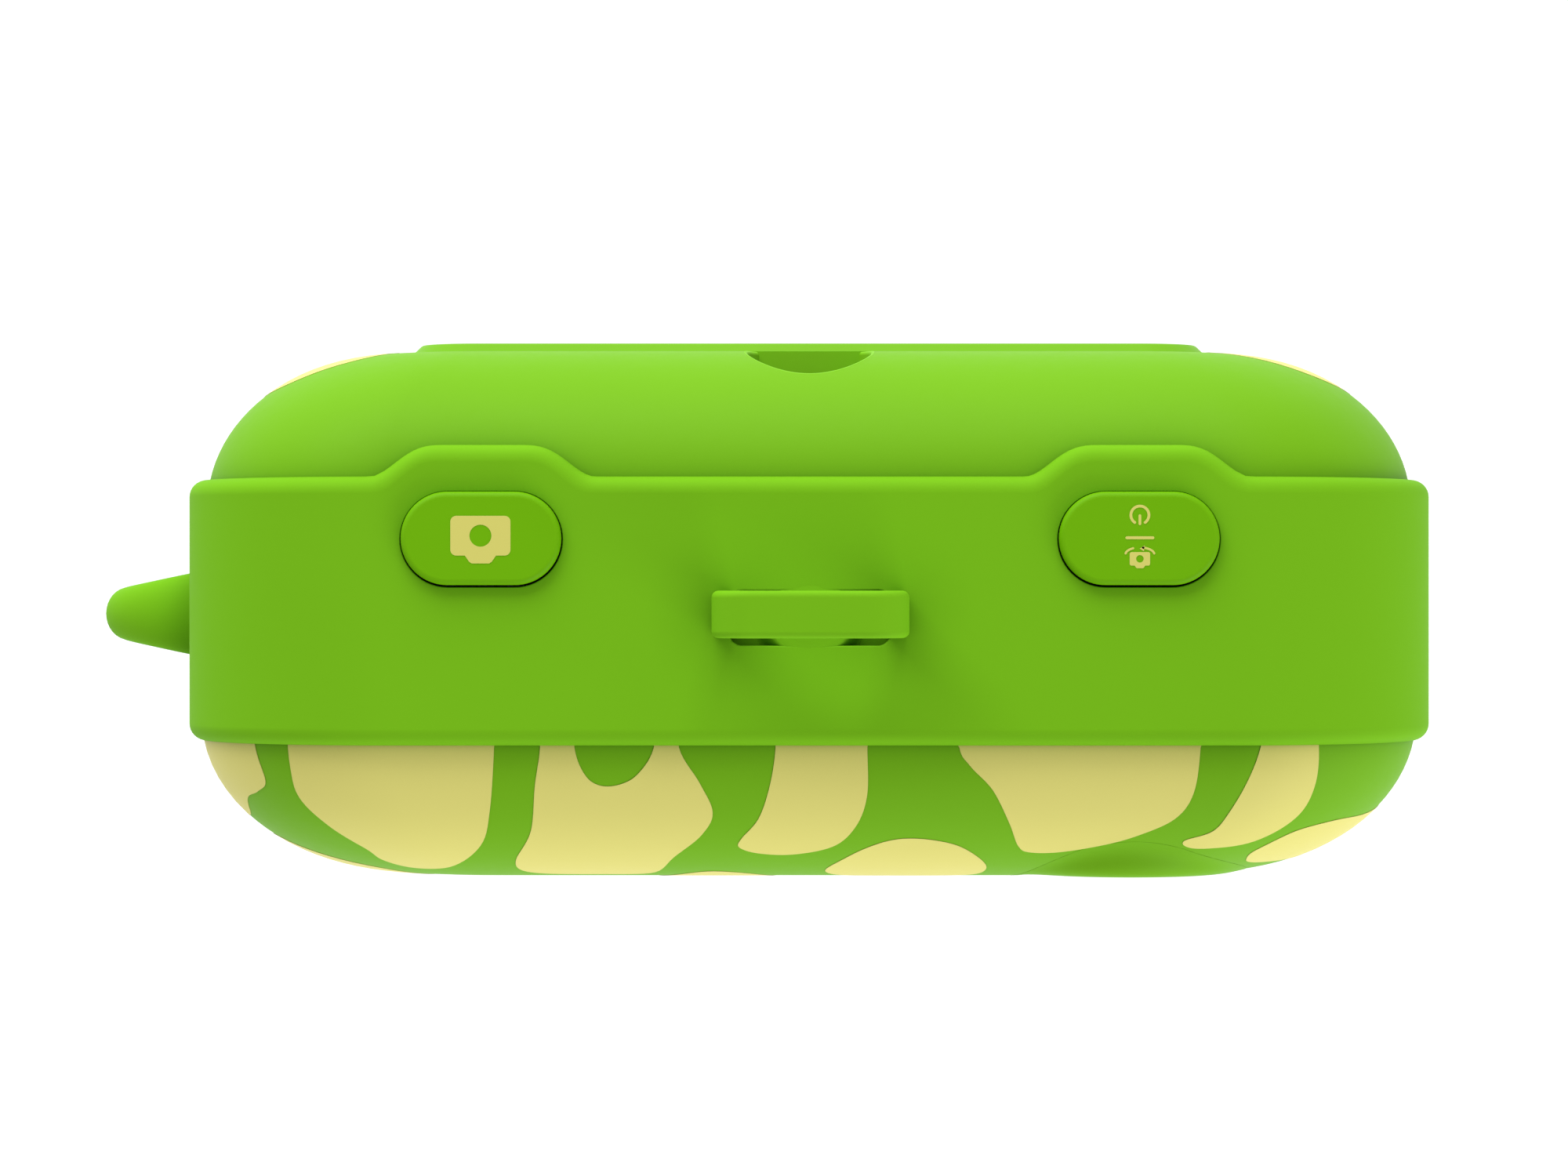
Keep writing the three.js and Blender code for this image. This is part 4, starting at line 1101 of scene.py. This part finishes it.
def power_symbols():
    """A power sign over a camera between two turning arrows, with a line between them."""
    x, y = BUTTON_X, BUTTON_Y
    ring = stroke(arc_points(x, y + 2.0, 0.78, -55, 235, 40), 0.12)
    bar = stroke([(x, y + 1.25), (x, y + 1.95)], 0.12)
    divider = stroke([(x - 1.12, y + 0.04), (x + 1.12, y + 0.04)], 0.13)
    wide, tall = 1.25, 0.6

    def sweep(start, end):
        points = [(x + wide * math.cos(t), y - 1.4 + tall * math.sin(t)) for t in arc(start, end, 14)]
        return stroke(points, 0.095)
    head = [(x - 0.02, y - 0.9), (x + 0.42, y - 0.62), (x + 0.34, y - 1.12)]
    marks = [[ring], [bar], [divider], [sweep(172, 118)], [sweep(8, 78)], [head]]
    print_piece("power_symbols", marks, put_z(0, 0), BUTTON_HIGH.z, "power")
    flip = camera_symbol(x, y - 1.78, 0.34)
    print_piece("flip_symbol", [flip], put_z(0, 0), BUTTON_HIGH.z, "power")


def shutter_symbol():
    camera = camera_symbol(-BUTTON_X, BUTTON_Y + 0.22, 1.0)
    print_piece("shutter_symbol", [camera], put_z(0, 0), BUTTON_HIGH.z, "shutter")


shutter_symbol()
power_symbols()


# ---------- Rear plate, screen and keys ----------
def screen_plate():
    low, high = PLATE_LOW.y, PLATE_HIGH.y
    half_x, half_z = (PLATE_HIGH.x - PLATE_LOW.x) / 2, (PLATE_HIGH.z - PLATE_LOW.z) / 2
    slope = [(0.0, low - 0.6), (0.0, low), (-0.66, high - 0.1), (-0.82, high)]
    plate = stack("screen_plate", rect(half_x, half_z, 6, 14), slope, put_y(0, MID_Z))
    window = rect(WINDOW_HALF_X + 0.12, WINDOW_HALF_Z + 0.12, 2)
    carve(plate, window, [(0.0, low - 2)] + mouth(high, 0.2, 4), put_y(WINDOW_X, MID_Z))
    levels = [(KEY_GAP, low - 2)] + [(grow + KEY_GAP, height) for grow, height in mouth(high, 0.15, 4)]
    for name in KEYS:
        carve(plate, key_outline(name), levels, key_place(name))
    finish_piece(plate, PLATE_GREEN, stands_for=["screen_bezel"], sharp=12)


def screen_window():
    """The clear window with a black border printed on its back."""
    place = put_y(WINDOW_X, MID_Z)
    back = WINDOW_LOW.y
    levels = [(0.0, back + 0.12)] + round_top(WINDOW_HIGH.y, 0.15, 3)
    glass = stack("screen_glass", rect(WINDOW_HALF_X, WINDOW_HALF_Z, 1.9), levels, place)
    finish_piece(glass, GLASS, stands_for=["screen_window"])
    border = rounded_rect(WINDOW_HALF_X - 0.05, WINDOW_HALF_Z - 0.05, 1.8, 8)
    opening = rounded_rect(WINDOW_HALF_X - 2.6, WINDOW_HALF_Z - 2.4, 0.6, 4)
    mask = make_object("window_mask", *inlay([border, opening], place, back + 0.1, back))
    finish_piece(mask, MASK, sharp=20, weighted=False)


def rear_key(name):
    body = name.split("_")[1] + "_key"
    levels = [(0.0, PLATE_LOW.y - 1.5)] + round_top(KEY_TOP, 0.3, 5)
    key = stack(f"{name}_cap", key_outline(name), levels, key_place(name))
    finish_piece(key, BUTTON_GREEN, body=body, stands_for=[name])
    if name == "key_ok":
        mark = [arc_points(0, 0, r, 0, 360, 32)[:-1] for r in (1.0, 0.72)]
    else:
        across, up = KEYS[name]
        turn = math.atan2(-across, up)
        c, s = math.cos(turn), math.sin(turn)
        arrow = [(0.0, 0.75), (-0.85, -0.45), (0.85, -0.45)]
        mark = [[(a * c - b * s, a * s + b * c) for a, b in arrow]]
    print_piece(f"{name}_mark", [mark], key_place(name), KEY_TOP, body)


screen_plate()
screen_window()
for key_name in KEYS:
    rear_key(key_name)


# ---------- Port flap and screws ----------
def flap_piece():
    """The rubber flap over the sockets, with a notch for a fingernail."""
    outline = rect(FLAP_HIGH.y - FLAP_Y, FLAP_HIGH.z - FLAP_Z, 2.2, 12)
    levels = [(-0.3, FLAP_LOW.x), (0.0, FLAP_LOW.x + 0.3)] + round_top(FLAP_HIGH.x, 0.35, 5)
    flap = stack("flap_plate", outline, levels, put_x(FLAP_Y, FLAP_Z))
    levels = [(-0.3, FLAP_HIGH.x - 0.55)] + mouth(FLAP_HIGH.x, 0.4)
    carve(flap, stadium(4.4, 1.3), levels, put_x(FLAP_Y, FLAP_HIGH.z - 2.2))
    finish_piece(flap, FLAP_GREEN, body="flap", stands_for=["port_flap"])


def screw_head(name, node):
    """A pan head with a cross recess on its shank."""
    low, high = box_mm(node)
    place = put_y(*middle(low, high))
    r, shank, crown = (high.x - low.x) / 2, 1.2, 1.0
    top, seat = high.y, high.y - 1.85
    levels = [(shank - r, low.y), (shank - r, seat), (0.0, seat), (0.0, top - crown)]
    for t in arc(10, 86, 8):
        levels.append((-0.8 * r * (1 - math.cos(t)), top - crown + crown * math.sin(t)))
    head = stack(name, disc(r, 48), levels, place)
    for half_a, half_b in ((0.28, 1.5), (1.5, 0.28)):
        carve(head, rect(half_a, half_b, 0.12, 2), [(-0.1, top - 1.1), (0.0, top + 1)], place)
    finish_piece(head, SCREW, stands_for=[node])


flap_piece()
screw_head("rear_screw_left", "shell_screw_left")
screw_head("rear_screw_right", "shell_screw_right")


# ---------- Stage and light ----------
def add_floor():
    half = 7.0
    corners = [(-half, -half, 0), (half, -half, 0), (half, half, 0), (-half, half, 0)]
    mesh = bpy.data.meshes.new("floor")
    mesh.from_pydata(corners, [], [(0, 1, 2, 3)])
    floor = bpy.data.objects.new("floor", mesh)
    bpy.context.scene.collection.objects.link(floor)
    material = bpy.data.materials.new("floor_white")
    material.use_nodes = True
    shader = material.node_tree.nodes["Principled BSDF"]
    shader.inputs["Base Color"].default_value = (0.25, 0.25, 0.25, 1)
    shader.inputs["Roughness"].default_value = 0.9
    shader.inputs["Specular IOR Level"].default_value = 0.1
    shader.inputs["Emission Color"].default_value = (1, 1, 1, 1)
    shader.inputs["Emission Strength"].default_value = 0.92
    mesh.materials.append(material)


def add_softbox(name, where, target, size, power):
    data = bpy.data.lights.new(name, "AREA")
    data.shape = "RECTANGLE"
    data.size, data.size_y = size
    data.energy = power
    lamp = bpy.data.objects.new(name, data)
    lamp.location = where
    lamp.rotation_euler = (Vector(target) - Vector(where)).to_track_quat("-Z", "Y").to_euler()
    bpy.context.scene.collection.objects.link(lamp)


def add_world(strength):
    world = bpy.data.worlds.new("studio")
    world.use_nodes = True
    back = world.node_tree.nodes["Background"]
    back.inputs["Color"].default_value = (1, 1, 1, 1)
    back.inputs["Strength"].default_value = strength
    bpy.context.scene.world = world


add_floor()
add_world(0.5)
CENTRE = (0, 0, 0.05)
add_softbox("key_rear", (-0.32, 1.15, 0.55), CENTRE, (1.4, 0.8), 19)
add_softbox("fill_front", (0.72, -0.97, 0.42), CENTRE, (1.2, 0.6), 10)
bpy.context.scene.view_settings.view_transform = "Standard"
